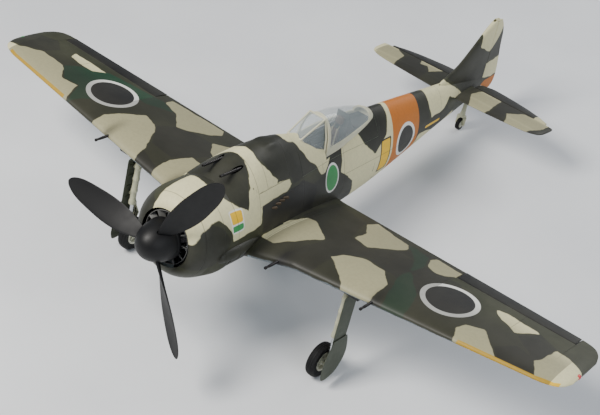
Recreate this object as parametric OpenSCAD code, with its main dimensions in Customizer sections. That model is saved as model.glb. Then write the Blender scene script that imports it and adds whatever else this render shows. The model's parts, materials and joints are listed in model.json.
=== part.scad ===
// Radio-controlled foam warbird: a low-wing radial fighter with retracting gear.
// The airframe is drawn level: X to its left wing, Y aft from the spinner's tip, Z up from the thrust line.
// stance() then sets it on its three wheels, with the floor at Z = 0.

/* [Wing] */
// Half of the wing span
semi_span = 562; // [558:1:566]
// Distance from the spinner's tip to the leading edge, carried in to the centre line
wing_le = 175; // [172:1:178]
// Distance from the spinner's tip to the trailing edge, carried in to the centre line
wing_te = 421; // [417:1:425]
// Height of the wing's chord line at the centre line
wing_z = -37; // [-38:0.5:-36]
// Rise of the wing for each millimetre of span
dihedral = 0.0875; // [0.085:0.0005:0.09]
// Thickness of the wing root as a share of its chord
root_thickness = 0.145; // [0.14:0.005:0.15]

/* [Nose] */
// Radius of the spinner's base
spinner_r = 32; // [31:1:34]
// Length of the spinner
spinner_len = 48; // [46:1:50]
// Radius swept by the propeller's tips
prop_r = 176; // [165:1:180]
// Distance of the blades aft of the spinner's tip
prop_y = 27; // [26:1:28]
// Turn of the propeller at rest
prop_angle = 57; // [0:1:119]
// Outer radius of the cowl
cowl_r = 72; // [71:1:73]
// Radius of the cowl's air intake
intake_r = 43; // [42:1:44]

/* [Undercarriage] */
// Distance of each retraction pivot from the centre line
pivot_x = 214; // [213:1:215]
// Length from the pivot down to the axle
leg_len = 150; // [149:1:151]
// Angle through which a leg folds
fold_angle = 84; // [70:1:84]
// Radius of the main tyres
tyre_r = 29; // [27:1:29]
// Width of the main tyres
tyre_w = 16; // [14:1:16]
// Radius of the tail tyre
tail_tyre_r = 12; // [11:0.5:12]

/* [Tail] */
// Half of the tailplane's span
stab_span = 190; // [188:1:192]
// Height of the tailplane
stab_z = 43; // [42:0.5:44]
// Height of the fin's top
fin_top = 170; // [168:1:172]

/* [Hidden] */
$fn = 48;

gap = 0.4;
run_fit = 0.05;
axle_y = 224;
pivot_z = -22;
wheel_in = 13;
axle_r = 2.5;
pin_r = 1.2;

// Stance: the line that touches the main and tail tyres becomes the floor
tail_axle = [884, -46];
main_axle = [axle_y, pivot_z - leg_len];
tyre_step = tyre_r - tail_tyre_r;
wheelbase = norm(tail_axle - main_axle);
nose_up = atan2(tail_axle[1] - main_axle[1], tail_axle[0] - main_axle[0]) + asin(tyre_step / wheelbase);
// Middle of the overall length, from the lowest blade tip to the rudder's trailing edge, in the stance
mid_y = 470;
floor_z = tyre_r - (main_axle[1] * cos(nose_up) - main_axle[0] * sin(nose_up));

module stance() {
    translate([0, -mid_y, floor_z]) rotate([-nose_up, 0, 0]) children();
}

// ---------- helpers ----------
function mix(a, b, t) = a + (b - a) * t;
// Smooth curve through the rows of a table, read at the first column
function row_of(tab, y, i = 0) = (i >= len(tab) - 2 || y < tab[i + 1][0]) ? i : row_of(tab, y, i + 1);
function slope(tab, i, c) =
    (tab[min(i + 1, len(tab) - 1)][c] - tab[max(i - 1, 0)][c])
    / (tab[min(i + 1, len(tab) - 1)][0] - tab[max(i - 1, 0)][0]);
function curve(tab, y, c) =
    let (i = row_of(tab, y), h = tab[i + 1][0] - tab[i][0], t = (y - tab[i][0]) / h)
    (2 * pow(t, 3) - 3 * pow(t, 2) + 1) * tab[i][c]
    + (pow(t, 3) - 2 * pow(t, 2) + t) * h * slope(tab, i, c)
    + (3 * pow(t, 2) - 2 * pow(t, 3)) * tab[i + 1][c]
    + (pow(t, 3) - pow(t, 2)) * h * slope(tab, i + 1, c);

// Solid through a row of rings that all have the same number of points
module loft(rings) {
    n = len(rings[0]);
    m = len(rings);
    sides = [for (i = [0:m - 2]) for (j = [0:n - 1]) let (k = (j + 1) % n)
        each [[i * n + j, i * n + k, (i + 1) * n + k], [i * n + j, (i + 1) * n + k, (i + 1) * n + j]]];
    polyhedron([for (r = rings) each r],
        concat([[for (j = [n - 1:-1:0]) j]], sides, [[for (j = [0:n - 1]) (m - 1) * n + j]]));
}

module left_and_right() {
    children();
    mirror([1, 0, 0]) children();
}

// Turns a shape drawn along Z so that it runs aft from y
module aft(y, x = 0, z = 0) {
    translate([x, y, z]) rotate([-90, 0, 0]) children();
}

// Round bar between two points
module bar(a, b, r) {
    v = b - a;
    translate(a) rotate([0, acos(v[2] / norm(v)), atan2(v[1], v[0])]) cylinder(r = r, h = norm(v));
}

// Box from its lowest to its highest corner
module block(a, b) {
    translate(a) cube(b - a);
}

// ---------- fuselage ----------
// Distance aft, half width, bottom, top, height of the widest point, fullness of the upper half
BODY = [
    [128, 72, -72, 72, 0, 2.0],
    [165, 69, -74, 92, -2, 1.9],
    [205, 65, -75, 103, -5, 1.8],
    [265, 61, -76, 104, -6, 1.7],
    [320, 56, -76, 93, -7, 1.65],
    [390, 51, -75, 88, -6, 1.5],
    [460, 47, -72, 88, -4, 1.5],
    [530, 43, -62, 84, 0, 1.6],
    [620, 36, -42, 79, 10, 1.7],
    [720, 28, -18, 72, 22, 1.8],
    [820, 19, 2, 66, 32, 1.9],
    [901, 9, 14, 60, 38, 2.0]];
body_ring = 36;

function body_point(y, a) =
    let (w = curve(BODY, y, 1), lo = curve(BODY, y, 2), hi = curve(BODY, y, 3), mid = curve(BODY, y, 4),
        e = 2 / (sin(a) > 0 ? curve(BODY, y, 5) : 2.2))
    [w * sign(cos(a)) * pow(abs(cos(a)), e), y,
     mid + (sin(a) > 0 ? hi - mid : mid - lo) * sign(sin(a)) * pow(abs(sin(a)), e)];

module body_loft() {
    ys = concat([128, 140, 155, 175], [for (y = [205:30:535]) y], [for (y = [570:45:840]) y], [875, 901]);
    loft([for (y = ys) [for (j = [0:body_ring - 1]) body_point(y, 360 * j / body_ring)]]);
}

// ---------- wing ----------
function wing_plane(x) = wing_z + dihedral * x;
// Distance out, leading edge, trailing edge, thickness
root_x = 70;
ail_in = 314;
ail_out = 520;
root_le = 162;
kink_x = 134;
function le_at(x) = wing_le + 0.09 * x;
function te_at(x) = wing_te - 0.11 * x;
WING = [
    [30, root_le - 14, te_at(30), 36],
    [root_x, root_le, te_at(root_x), root_thickness * (te_at(root_x) - root_le)],
    [kink_x, le_at(kink_x), te_at(kink_x), 31],
    [ail_in, le_at(ail_in), te_at(ail_in), 24],
    [ail_out, le_at(ail_out), te_at(ail_out), 15.5],
    [semi_span - 18, le_at(semi_span - 18) + 4, te_at(semi_span - 18) - 4, 12],
    [semi_span - 6, le_at(semi_span) + 12, te_at(semi_span) - 16, 8],
    [semi_span, le_at(semi_span) + 26, te_at(semi_span) - 34, 4]];
edge_half = 0.6;
function naca(t) = 5 * (0.2969 * sqrt(t) - 0.126 * t - 0.3516 * t * t + 0.2843 * pow(t, 3) - 0.1036 * pow(t, 4));
function wing_half(row, t) = row[3] * naca(t) + edge_half * t;
function camber(row, t) = 0.06 * row[3] * 4 * t * (1 - t);
wing_steps = 11;
function wing_ring(row) =
    let (c = row[2] - row[1], z = wing_plane(row[0]),
        ts = [for (i = [0:wing_steps]) (1 - cos(180 * i / wing_steps)) / 2])
    concat(
        [for (i = [wing_steps:-1:0]) let (t = ts[i])
            [row[0], row[1] + c * t, z + camber(row, t) - wing_half(row, t)]],
        [for (i = [1:wing_steps]) let (t = ts[i])
            [row[0], row[1] + c * t, z + camber(row, t) + wing_half(row, t)]]);
module wing_loft(first, last) {
    loft([for (i = [first:last]) wing_ring(WING[i])]);
}

// Hinge line of the ailerons: its two ends and its radius there
function row_at(x) = let (i = row_of(WING, x), t = (x - WING[i][0]) / (WING[i + 1][0] - WING[i][0]))
    [for (c = [0:3]) mix(WING[i][c], WING[i + 1][c], t)];
function ail_chord(x) = mix(27, 21, (x - ail_in) / (ail_out - ail_in));
function ail_t(x) = let (r = row_at(x)) 1 - ail_chord(x) / (r[2] - r[1]);
function ail_r(x) = wing_half(row_at(x), ail_t(x)) - 0.1;
function ail_axis(x) = let (r = row_at(x)) [x, r[2] - ail_chord(x), wing_plane(x) + camber(r, ail_t(x))];

// ---------- wells ----------
well_in = 33;
well_out = 106;
well_half = 31;
well_top = -13.5;
// Well between two stations; its roof drops towards the leading edge and stays under the wing's skin
module well(x0, x1, half, top, run) {
    front = axle_y - half;
    translate([x0, 0, 0]) rotate([90, 0, 90]) linear_extrude(x1 - x0)
        polygon([[front, -90], [axle_y + half, -90], [axle_y + half, top], [front + run, top], [front, top - 5]]);
}
module wells() {
    left_and_right() {
        well(well_in, well_out, well_half, well_top, 13);
        well(well_out - 1, 196, 25, well_top, 13);
        well(195, 246, 25, -11.5, 6);
    }
}

// ---------- airframe nodes ----------
spar_y = 276;
spar_z = -25;
spar_r = 5;
spar_reach = 205;
tab_y = [350, 380];
tab_z = [-36, -30];
hatch_y = [298, 522];
hatch_z = 46;
bay_half = 29;
rod_r = 0.8;

module hatch_zone(shrink) {
    block([-80, hatch_y[0] + shrink, hatch_z + shrink], [80, hatch_y[1] - shrink, 140]);
}

module fin_loft() {
    // Height, leading edge, half thickness at the rudder post
    levels = [[50, 745, 8], [70, 748, 7.5], [82, 772, 7], [95, 800, 6.6], [125, 838, 5.8],
        [150, 866, 5], [163, 884, 4.2], [fin_top, 897, 3]];
    back = 901;
    loft([for (l = levels) let (c = back - l[1])
        [for (p = [[1, 1], [0.7, 1.1], [0.35, 0.95], [0.1, 0.55], [0, 0], [0.1, -0.55], [0.35, -0.95],
            [0.7, -1.1], [1, -1]]) [p[1] * l[2], l[1] + c * p[0], l[0]]]]);
}

// Lug that carries one of the rudder's pins
module rudder_lug(z0, z1, r) {
    block([-r, 880, z0], [r, rudder_y, z1]);
    translate([0, rudder_y, z0]) cylinder(r = r, h = z1 - z0);
}

module fuselage() {
    color("darkolivegreen") stance() difference() {
        union() {
            body_loft();
            fin_loft();
            rudder_lug(9, 15, 3);
            rudder_lug(fin_top - 3, fin_top, 2.6);
            left_and_right() intersection() {
                wing_loft(0, 1);
                block([30, 120, -90], [root_x, 440, 20]);
            }
        }
        hatch_zone(0);
        // equipment bay and the motor's wire opening
        block([-bay_half, 140, -52], [bay_half, 500, 47]);
        block([-20, 120, -20], [20, 150, 20]);
        wells();
        spar_bore();
        left_and_right() {
            block([46, tab_y[0] - 0.1, tab_z[0] - 0.1], [root_x + 1, tab_y[1] + 0.1, tab_z[1] + 0.1]);
            translate([tab_x, tab_mid, -90]) cylinder(r = 1.55, h = 80);
            translate([tab_x, tab_mid, -90]) cylinder(r = 3.2, h = 90 + tab_z[0] - 6);
            gun_trough();
        }
        stab_loft();
        bar([-30, elevator_axis[0], stab_z], [30, elevator_axis[0], stab_z], joiner_r + run_fit);
        rod_channel(elevator_rod_a, elevator_rod_b);
        rod_channel(rudder_rod_a, rudder_rod_b);
        translate([0, tail_axle[0], -20]) cylinder(r = swivel_r + run_fit, h = 52);
        translate([0, rudder_y, 0]) cylinder(r = pin_r + run_fit, h = 200);
    }
}

// Passage for a tail rod, along the rod's own line
module rod_channel(a, b) {
    v = (b - a) / norm(b - a);
    bar(a - 5 * v, b + 30 * v, 3);
}

module spar_bore() {
    translate([-spar_reach - 1, spar_y, spar_z]) rotate([0, 90, 0])
        cylinder(r = spar_r + run_fit, h = 2 * spar_reach + 2);
}

module spar_tube() {
    color("dimgray") stance() translate([-spar_reach, spar_y, spar_z]) rotate([0, 90, 0]) difference() {
        cylinder(r = spar_r, h = 2 * spar_reach);
        translate([0, 0, -1]) cylinder(r = spar_r - 1, h = 2 * spar_reach + 2);
    }
}

// Cowl guns: barrels in troughs ahead of the windscreen
gun_x = 17;
gun_z = 87;
gun_r = 2.2;
module gun_trough() {
    aft(120, gun_x, gun_z) cylinder(r = 4.2, h = 58);
    aft(120, gun_x, gun_z) cylinder(r = gun_r, h = 76);
}
module cowl_guns() {
    color("black") stance() left_and_right() aft(126, gun_x, gun_z) difference() {
        cylinder(r = gun_r, h = 70);
        translate([0, 0, -1]) cylinder(r = 1.1, h = 12);
    }
}

// ---------- wing panels ----------
cannon_r = 2.4;
// Distance out, muzzle, inner end
CANNONS = [[112, 150, 205], [267, 172, 226]];
module cannon_bars(r) {
    for (c = CANNONS) aft(c[1], c[0], wing_plane(c[0]) + 1) cylinder(r = r, h = c[2] - c[1]);
}
module wing_cannons() {
    color("black") stance() left_and_right() difference() {
        cannon_bars(cannon_r);
        for (c = CANNONS) aft(c[1] - 1, c[0], wing_plane(c[0]) + 1) cylinder(r = 1.4, h = 13);
    }
}

light_y = 274;
light_r = 4;
module light_ball() {
    translate([semi_span - 1.5, light_y, wing_plane(semi_span)]) sphere(r = light_r);
}
module nav_lights() {
    color("red") stance() left_and_right() light_ball();
}

// Servo of an aileron, lying in the wing with its output shaft along X
servo = [20, 23, 12];
arm_len = 11;
ail_servo_x = 342;
ail_servo_y = 283;
ail_shaft_y = ail_servo_y + 17;
ail_arm_x = ail_servo_x + servo[0] + 2;
function ail_servo_z() = wing_plane(ail_servo_x + 10);
module ail_servo_bay() {
    block([ail_servo_x, ail_servo_y, -60],
        [ail_servo_x + servo[0], ail_servo_y + servo[1], ail_servo_z() + servo[2] / 2]);
    block([ail_servo_x + servo[0] - 1, ail_shaft_y - 13, -60], [ail_arm_x + 5, ail_shaft_y + 13, ail_servo_z() + 5]);
}
module aileron_servos() {
    color("mediumblue") stance() left_and_right() {
        block([ail_servo_x, ail_servo_y, ail_servo_z() - servo[2] / 2],
            [ail_servo_x + servo[0], ail_servo_y + servo[1], ail_servo_z() + servo[2] / 2]);
    }
}
// Arm of an aileron servo: hangs down, turns about X
module ail_arm_shape() {
    translate([ail_arm_x - 1.6, ail_shaft_y, ail_servo_z()]) rotate([0, 90, 0]) difference() {
        union() {
            cylinder(r = 3.4, h = 1.6);
            translate([0, -2.6, 0]) cube([arm_len, 5.2, 1.6]);
            translate([arm_len, 0, 0]) cylinder(r = 2.6, h = 1.6);
        }
        translate([arm_len, 0, -1]) cylinder(r = 1.7, h = 4);
    }
}
module aileron_servo_arm_left() { color("white") stance() ail_arm_shape(); }
module aileron_servo_arm_right() { color("white") stance() mirror([1, 0, 0]) ail_arm_shape(); }

ail_rod_a = [ail_arm_x + 1.4, ail_shaft_y, ail_servo_z() - arm_len];
ail_rod_b = [ail_arm_x + 1.4, ail_axis(ail_arm_x)[1], ail_axis(ail_arm_x)[2] - arm_len];
module ail_rod_shape() {
    bar(ail_rod_a, ail_rod_b, rod_r);
    for (end = [ail_rod_a, ail_rod_b]) {
        bar(end - [4, 0, 0], end, rod_r);
        translate(end) sphere(r = rod_r + 0.3);
    }
}
module aileron_pushrod_left() { color("silver") stance() ail_rod_shape(); }
module aileron_pushrod_right() { color("silver") stance() mirror([1, 0, 0]) ail_rod_shape(); }

// The slanted hinge line carries the ends of the aileron sideways as it tilts
ail_end_gap = 1.4;
module ail_slot() {
    a = ail_axis(ail_in - ail_end_gap);
    b = ail_axis(ail_out + ail_end_gap);
    translate([0, 0, -60]) linear_extrude(120) polygon([[a[0], a[1] - ail_r(a[0]) - 0.8],
        [b[0], b[1] - ail_r(b[0]) - 0.8], [b[0], 460], [a[0], 460]]);
}
module ail_pins(r) {
    a = ail_axis(ail_in);
    b = ail_axis(ail_out);
    v = (b - a) / norm(b - a);
    bar(a - 7 * v, a + 4 * v, r);
    bar(b - 4 * v, b + 7 * v, r);
}
module wing_panel() {
    difference() {
        union() {
            intersection() {
                wing_loft(1, len(WING) - 1);
                block([root_x + 0.2, 100, -90], [600, 500, 90]);
            }
            block([50, tab_y[0], tab_z[0]], [root_x + 3, tab_y[1], tab_z[1]]);
        }
        wells();
        ail_slot();
        ail_pins(pin_r + run_fit);
        spar_bore();
        cannon_bars(cannon_r);
        light_ball();
        ail_servo_bay();
        translate([tab_x, tab_mid, -90]) cylinder(r = 1.55, h = 80);
    }
}
module wing_left() { color("darkolivegreen") stance() wing_panel(); }
module wing_right() { color("darkolivegreen") stance() mirror([1, 0, 0]) wing_panel(); }

module aileron_shape() {
    difference() {
        union() {
            loft([for (x = [ail_in, 366, 420, 470, ail_out])
                surface_ring(ail_axis(x), ail_r(x), row_at(x)[2])]);
            ail_pins(pin_r);
            // horn under the aileron
            translate([ail_arm_x - 1.6, 0, 0]) rotate([90, 0, 90]) linear_extrude(1.6)
                polygon([for (p = [[-1.5, -2], [-3, -arm_len - 3], [3, -arm_len - 3], [9, -1.5]])
                    [ail_axis(ail_arm_x)[1] + p[0], ail_axis(ail_arm_x)[2] + p[1]]]);
        }
        bar(ail_rod_b - [8, 0, 0], ail_rod_b + [4, 0, 0], 1.7);
    }
}
module aileron_left() { color("olivedrab") stance() aileron_shape(); }
module aileron_right() { color("olivedrab") stance() mirror([1, 0, 0]) aileron_shape(); }

// Screws: two hold the wing panels' tabs, four hold the motor
tab_x = 58;
tab_mid = 365;
motor_screw_pcd = 26;
module screws() {
    color("silver") stance() {
        left_and_right() translate([tab_x, tab_mid, 0]) {
            translate([0, 0, tab_z[0] - 8]) cylinder(r = 3, h = 2);
            translate([0, 0, tab_z[0] - 6]) cylinder(r = 1.5, h = 14);
        }
        for (a = [45:90:315]) aft(118.5, motor_screw_pcd / 2 * cos(a), motor_screw_pcd / 2 * sin(a)) {
            cylinder(r = 2.8, h = 2);
            cylinder(r = 1.5, h = 9);
        }
    }
}

// ---------- tail ----------
elevator_axis = [862, stab_z];
joiner_r = 1.5;
rudder_y = 908;
// Distance out, leading edge, half thickness at the elevator's hinge
STAB = [
    [0, 786, 5],
    [30, 788, 5],
    [110, 794, 4.2],
    [160, 800, 3.6],
    [stab_span - 9, 809, 3],
    [stab_span - 2, 820, 2.2],
    [stab_span, 834, 1.4]];
elev_in = 19;
elev_out = 172;
function stab_ring(row) =
    let (back = elevator_axis[0] - 6, c = back - row[1],
        shape = [[1, 0.95], [0.7, 1.15], [0.35, 1.15], [0.1, 0.7], [0, 0], [0.1, -0.7], [0.35, -1.15],
            [0.7, -1.15], [1, -0.95]])
    [for (p = shape) [row[0], row[1] + c * p[0], stab_z - p[1] * row[2]]];
module stab_loft() {
    left_and_right() loft([for (r = STAB) stab_ring(r)]);
}
module stabiliser() {
    color("dimgray") stance() loft(concat(
        [for (i = [len(STAB) - 1:-1:1]) [for (p = stab_ring(STAB[i])) [-p[0], p[1], p[2]]]],
        [for (r = STAB) stab_ring(r)]));
}

// Ring of a control surface: round nose about its hinge, then two points at its trailing edge
nose_steps = 6;
function surface_ring(hinge, r, te) = concat(
    [for (i = [0:nose_steps]) let (a = 270 - 180 * i / nose_steps)
        [hinge[0], hinge[1] + r * cos(a), hinge[2] + r * sin(a)]],
    [[hinge[0], te, hinge[2] + edge_half], [hinge[0], te, hinge[2] - edge_half]]);

module elevators() {
    // Distance out, trailing edge, radius at the hinge
    rows = [[elev_in, 890, 4.9], [45, 896, 4.6], [110, 888, 4], [150, 878, 3.6], [elev_out, 868, 3.2]];
    color("olivedrab") stance() {
        left_and_right() loft([for (r = rows) surface_ring([r[0], elevator_axis[0], stab_z], r[2], r[1])]);
        bar([-elev_in - 20, elevator_axis[0], stab_z], [elev_in + 20, elevator_axis[0], stab_z], joiner_r);
    }
}
horn_reach = 13;
horn_hole = 2.5;
horn_x = 22;
module elevator_horn() {
    color("white") stance() difference() {
        translate([-horn_x - 0.7, 0, 0]) rotate([90, 0, 90]) linear_extrude(1.4)
            polygon([[elevator_axis[0] - 3, stab_z - 4.6], [elevator_axis[0] - 4, stab_z - 17],
                [elevator_axis[0] + 4, stab_z - 17], [elevator_axis[0] + 9, stab_z - 4.6]]);
        bar([-30, elevator_axis[0], stab_z - horn_reach], [-10, elevator_axis[0], stab_z - horn_reach], horn_hole);
        bar([-60, elevator_axis[0], stab_z], [0, elevator_axis[0], stab_z], 4.85);
    }
}
module rudder() {
    // Height, trailing edge, radius at the hinge
    rows = [[16, 958, 3.2], [24, 965, 3.8], [40, 968, 4.4], [72, 961, 4.6], [109, 950, 4.4],
        [135, 944, 4], [155, 934, 3.4], [166, 924, 2.8]];
    color("beige") stance() {
        loft([for (r = rows) [for (p = surface_ring([0, 0, 0], r[2], r[1] - rudder_y))
            [-p[2], rudder_y + p[1], r[0]]]]);
        translate([0, rudder_y, 9.5]) cylinder(r = pin_r, h = 10);
        translate([0, rudder_y, 162]) cylinder(r = pin_r, h = 7.5);
    }
}
module rudder_horn() {
    color("white") stance() difference() {
        translate([0, 0, 30.3]) linear_extrude(1.4)
            polygon([[4, rudder_y - 1.5], [17, rudder_y - 3.4], [17, rudder_y + 3.4], [4.5, rudder_y + 5]]);
        translate([13, rudder_y, 20]) cylinder(r = horn_hole, h = 20);
        translate([0, rudder_y, 20]) cylinder(r = 4.4, h = 20);
    }
}

// ---------- undercarriage ----------
module retract_units() {
    color("dimgray") stance() left_and_right() difference() {
        union() {
            block([pivot_x + 8, axle_y - 18, pivot_z - 7], [pivot_x + 29, axle_y + 18, pivot_z + 8.5]);
            for (y = [axle_y - 18, axle_y + 13])
                block([pivot_x - 7, y, pivot_z - 7], [pivot_x + 9, y + 5, pivot_z + 8.5]);
        }
        aft(axle_y - 30, pivot_x, pivot_z) cylinder(r = 4 + run_fit, h = 60);
    }
}
axle_z = pivot_z - leg_len;
module leg_shape() {
    difference() {
        union() {
            aft(axle_y - 18, pivot_x, pivot_z) cylinder(r = 4, h = 36);
            aft(axle_y - 12, pivot_x, pivot_z) cylinder(r = 6, h = 24);
            translate([pivot_x, axle_y, pivot_z - 95]) cylinder(r = 5.2, h = 95);
            translate([pivot_x, axle_y, pivot_z - 98]) cylinder(r = 6, h = 6);
            translate([pivot_x, axle_y, axle_z]) cylinder(r = 3.6, h = 60);
            translate([pivot_x, axle_y, axle_z - 5]) cylinder(r = 4, h = 12);
            translate([pivot_x - wheel_in - 8.8, axle_y, axle_z]) rotate([0, 90, 0])
                cylinder(r = axle_r, h = wheel_in + 8.8);
            translate([pivot_x - wheel_in - 8.9, axle_y, axle_z]) rotate([0, 90, 0])
                cylinder(r = 4, h = 1.6);
            // torque links behind the strut
            for (z = [pivot_z - 95, axle_z + 6]) block([pivot_x - 3, axle_y + 2, z - 2.5],
                [pivot_x + 3, axle_y + 16, z + 2.5]);
            translate([pivot_x - 3, axle_y + 12, axle_z + 6]) cube([6, 5, 49]);
        }
        translate([pivot_x - 10, axle_y + 8, -90]) rotate([0, 90, 0]) cylinder(r = 1, h = 20);
    }
}
module leg_left() { color("lightsteelblue") stance() leg_shape(); }
module leg_right() { color("lightsteelblue") stance() mirror([1, 0, 0]) leg_shape(); }

// Lower door: aft of the axle, above the pivot
LOWER_DOOR = [[-15, -94], [-22, -108], [-28, -128], [-28, -158], [-22, -167], [-6, -167], [12, -160],
    [26, -142], [28, -128], [23, -108], [17, -94]];
door_half = 17;
module door_shape() {
    x = pivot_x + 7.5;
    difference() {
        union() {
            block([x, axle_y - door_half, pivot_z - 100], [x + 1.5, axle_y + door_half, pivot_z - 14]);
            translate([x + 1.5, axle_y, pivot_z]) rotate([90, 0, 90]) linear_extrude(1.5) polygon(LOWER_DOOR);
            for (z = [pivot_z - 30, pivot_z - 80]) block([pivot_x + 4.5, axle_y - 3, z - 3], [x + 0.5, axle_y + 3, z + 3]);
        }
        translate([pivot_x, axle_y, -200]) cylinder(r = 5.2, h = 190);
    }
}
module gear_doors_left() { color("lightsteelblue") stance() door_shape(); }
module gear_doors_right() { color("lightsteelblue") stance() mirror([1, 0, 0]) door_shape(); }

rim_r = 16;
module at_wheel() {
    stance() translate([pivot_x - wheel_in, axle_y, axle_z]) rotate([0, 90, 0]) children();
}
module hub_shape() {
    difference() {
        rotate_extrude() union() {
            translate([axle_r + run_fit, -7]) square([4, 14]);
            translate([axle_r + run_fit + 3, -2]) square([rim_r - axle_r - 4, 4]);
            translate([rim_r - 2, -6]) square([2, 12]);
        }
        for (a = [0:60:300]) rotate([0, 0, a]) translate([10.4, 0, -10]) cylinder(r = 2.2, h = 20);
    }
}
module tyre_shape(r, w, bead) {
    rotate_extrude() difference() {
        union() {
            translate([r - w / 2, 0]) circle(r = w / 2);
            translate([bead, -w / 2 + 1]) square([r - w / 2 - bead, w - 2]);
        }
        translate([0, -w]) square([bead, 2 * w]);
    }
}
module wheel_hub_left() { color("lightgray") at_wheel() hub_shape(); }
module tyre_left() { color("black") at_wheel() tyre_shape(tyre_r, tyre_w, rim_r); }
module right_wheel() {
    stance() mirror([1, 0, 0]) translate([pivot_x - wheel_in, axle_y, axle_z]) rotate([0, 90, 0]) children();
}
module wheel_hub_right() { color("lightgray") right_wheel() hub_shape(); }
module tyre_right() { color("black") right_wheel() tyre_shape(tyre_r, tyre_w, rim_r); }

swivel_r = 2;
tail_tyre_w = 8;
module tail_fork() {
    z = tail_axle[1];
    color("lightsteelblue") stance() translate([0, tail_axle[0], 0]) {
        translate([0, 0, z + 18]) cylinder(r = swivel_r, h = 30 - z - 18);
        translate([0, 0, z + 18]) cylinder(r = 4, h = 30);
        block([-7.5, -5, z + 15], [7.5, 5, z + 18]);
        for (x = [-7.5, 5.5]) {
            block([x, -4, z], [x + 2, 4, z + 16]);
            translate([x, 0, z]) rotate([0, 90, 0]) cylinder(r = 4, h = 2);
        }
        translate([-7, 0, z]) rotate([0, 90, 0]) cylinder(r = 1.5, h = 14);
    }
}
module at_tail_wheel() {
    stance() translate([0, tail_axle[0], tail_axle[1]]) rotate([0, 90, 0]) children();
}
module tail_hub() {
    color("lightgray") at_tail_wheel() difference() {
        translate([0, 0, -4]) cylinder(r = 7, h = 8);
        translate([0, 0, -5]) cylinder(r = 1.5 + run_fit, h = 10);
    }
}
module tail_tyre() { color("black") at_tail_wheel() tyre_shape(tail_tyre_r, tail_tyre_w, 7); }

// ---------- nose ----------
firewall_y = 124;
shaft_r = 2.5;
module cowl() {
    front = 50;
    rear = firewall_y + 4;
    rise = 48;
    color("darkolivegreen") stance() aft(0) rotate_extrude() polygon(concat(
        [for (a = [0:10:90]) [intake_r + 2 + (cowl_r - intake_r - 2) * sin(a), front + rise * (1 - cos(a))]],
        [[cowl_r, rear - 0.1], [cowl_r - 2.5, rear - 0.1]],
        [for (a = [90:-10:0]) [intake_r + (cowl_r - intake_r - 2.5) * sin(a), front + 1 + (rise + 1) * (1 - cos(a))]]));
}
cylinders = 9;
module dummy_engine() {
    color("dimgray") stance() aft(0) difference() {
        union() {
            translate([0, 0, 76]) cylinder(r = 27, h = 30);
            translate([0, 0, 104]) cylinder(r = cowl_r - 2.5, h = 2.5);
            for (i = [0:cylinders - 1]) rotate([0, 0, 360 * i / cylinders]) {
                translate([0, 0, 90]) rotate([0, 90, 0]) cylinder(r = 8, h = 56);
                translate([0, 0, 90]) rotate([0, 90, 0]) translate([0, 0, 34]) cylinder(r = 9.5, h = 12);
            }
        }
        translate([0, 0, 60]) cylinder(r = 20.5, h = 60);
    }
}
module firewall() {
    color("burlywood") stance() aft(firewall_y) difference() {
        cylinder(r = cowl_r - 2.6, h = 3.9);
        for (a = [45:90:315]) rotate([0, 0, a]) translate([motor_screw_pcd / 2, 0, -1]) cylinder(r = 1.55, h = 8);
        translate([0, 0, -1]) cylinder(r = 6, h = 8);
    }
}
module motor_base() {
    color("silver") stance() aft(0) difference() {
        union() {
            translate([0, 0, 120.5]) cylinder(r = 19, h = 3.5);
            translate([0, 0, 87]) cylinder(r = 6, h = 34);
            translate([0, 0, 90]) cylinder(r = 15, h = 22);
        }
        translate([0, 0, 80]) cylinder(r = shaft_r + run_fit, h = 60);
        for (a = [45:90:315]) rotate([0, 0, a]) translate([motor_screw_pcd / 2, 0, 119]) cylinder(r = 1.55, h = 8);
    }
}
module motor_can() {
    color("darkred") stance() aft(0) difference() {
        translate([0, 0, 82]) cylinder(r = 18, h = 33);
        translate([0, 0, 85]) cylinder(r = 15.8, h = 40);
        translate([0, 0, 60]) cylinder(r = shaft_r, h = 60);
    }
}
module prop_shaft() {
    color("silver") stance() aft(0) {
        translate([0, 0, 9]) cylinder(r = shaft_r, h = 109);
        translate([0, 0, prop_y + 7]) cylinder(r = 8, h = spinner_len - prop_y - 7);
        translate([0, 0, 60]) cylinder(r = 6, h = 22);
    }
}
module prop_nut() {
    color("silver") stance() aft(prop_y - 13) difference() {
        cylinder(r = 6, h = 6, $fn = 6);
        translate([0, 0, -1]) cylinder(r = shaft_r, h = 8);
    }
}
module spinner_profile(r, len) {
    polygon(concat([for (a = [0:7.5:90]) [r * pow(sin(a), 0.9), len * (1 - cos(a))]], [[0, len]]));
}
module spinner() {
    color("black") stance() aft(0) difference() {
        rotate_extrude() spinner_profile(spinner_r, spinner_len);
        translate([0, 0, 2.5]) rotate_extrude() spinner_profile(spinner_r - 2, spinner_len + 1);
        for (k = [0:2]) rotate([0, 0, -prop_angle - 120 * k])
            block([10, -11, prop_y - 8.5], [60, 11, spinner_len + 1]);
    }
}
module spinner_backplate() {
    color("black") stance() aft(spinner_len) difference() {
        cylinder(r = spinner_r, h = 2);
        translate([0, 0, -1]) cylinder(r = shaft_r, h = 4);
    }
}
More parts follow.
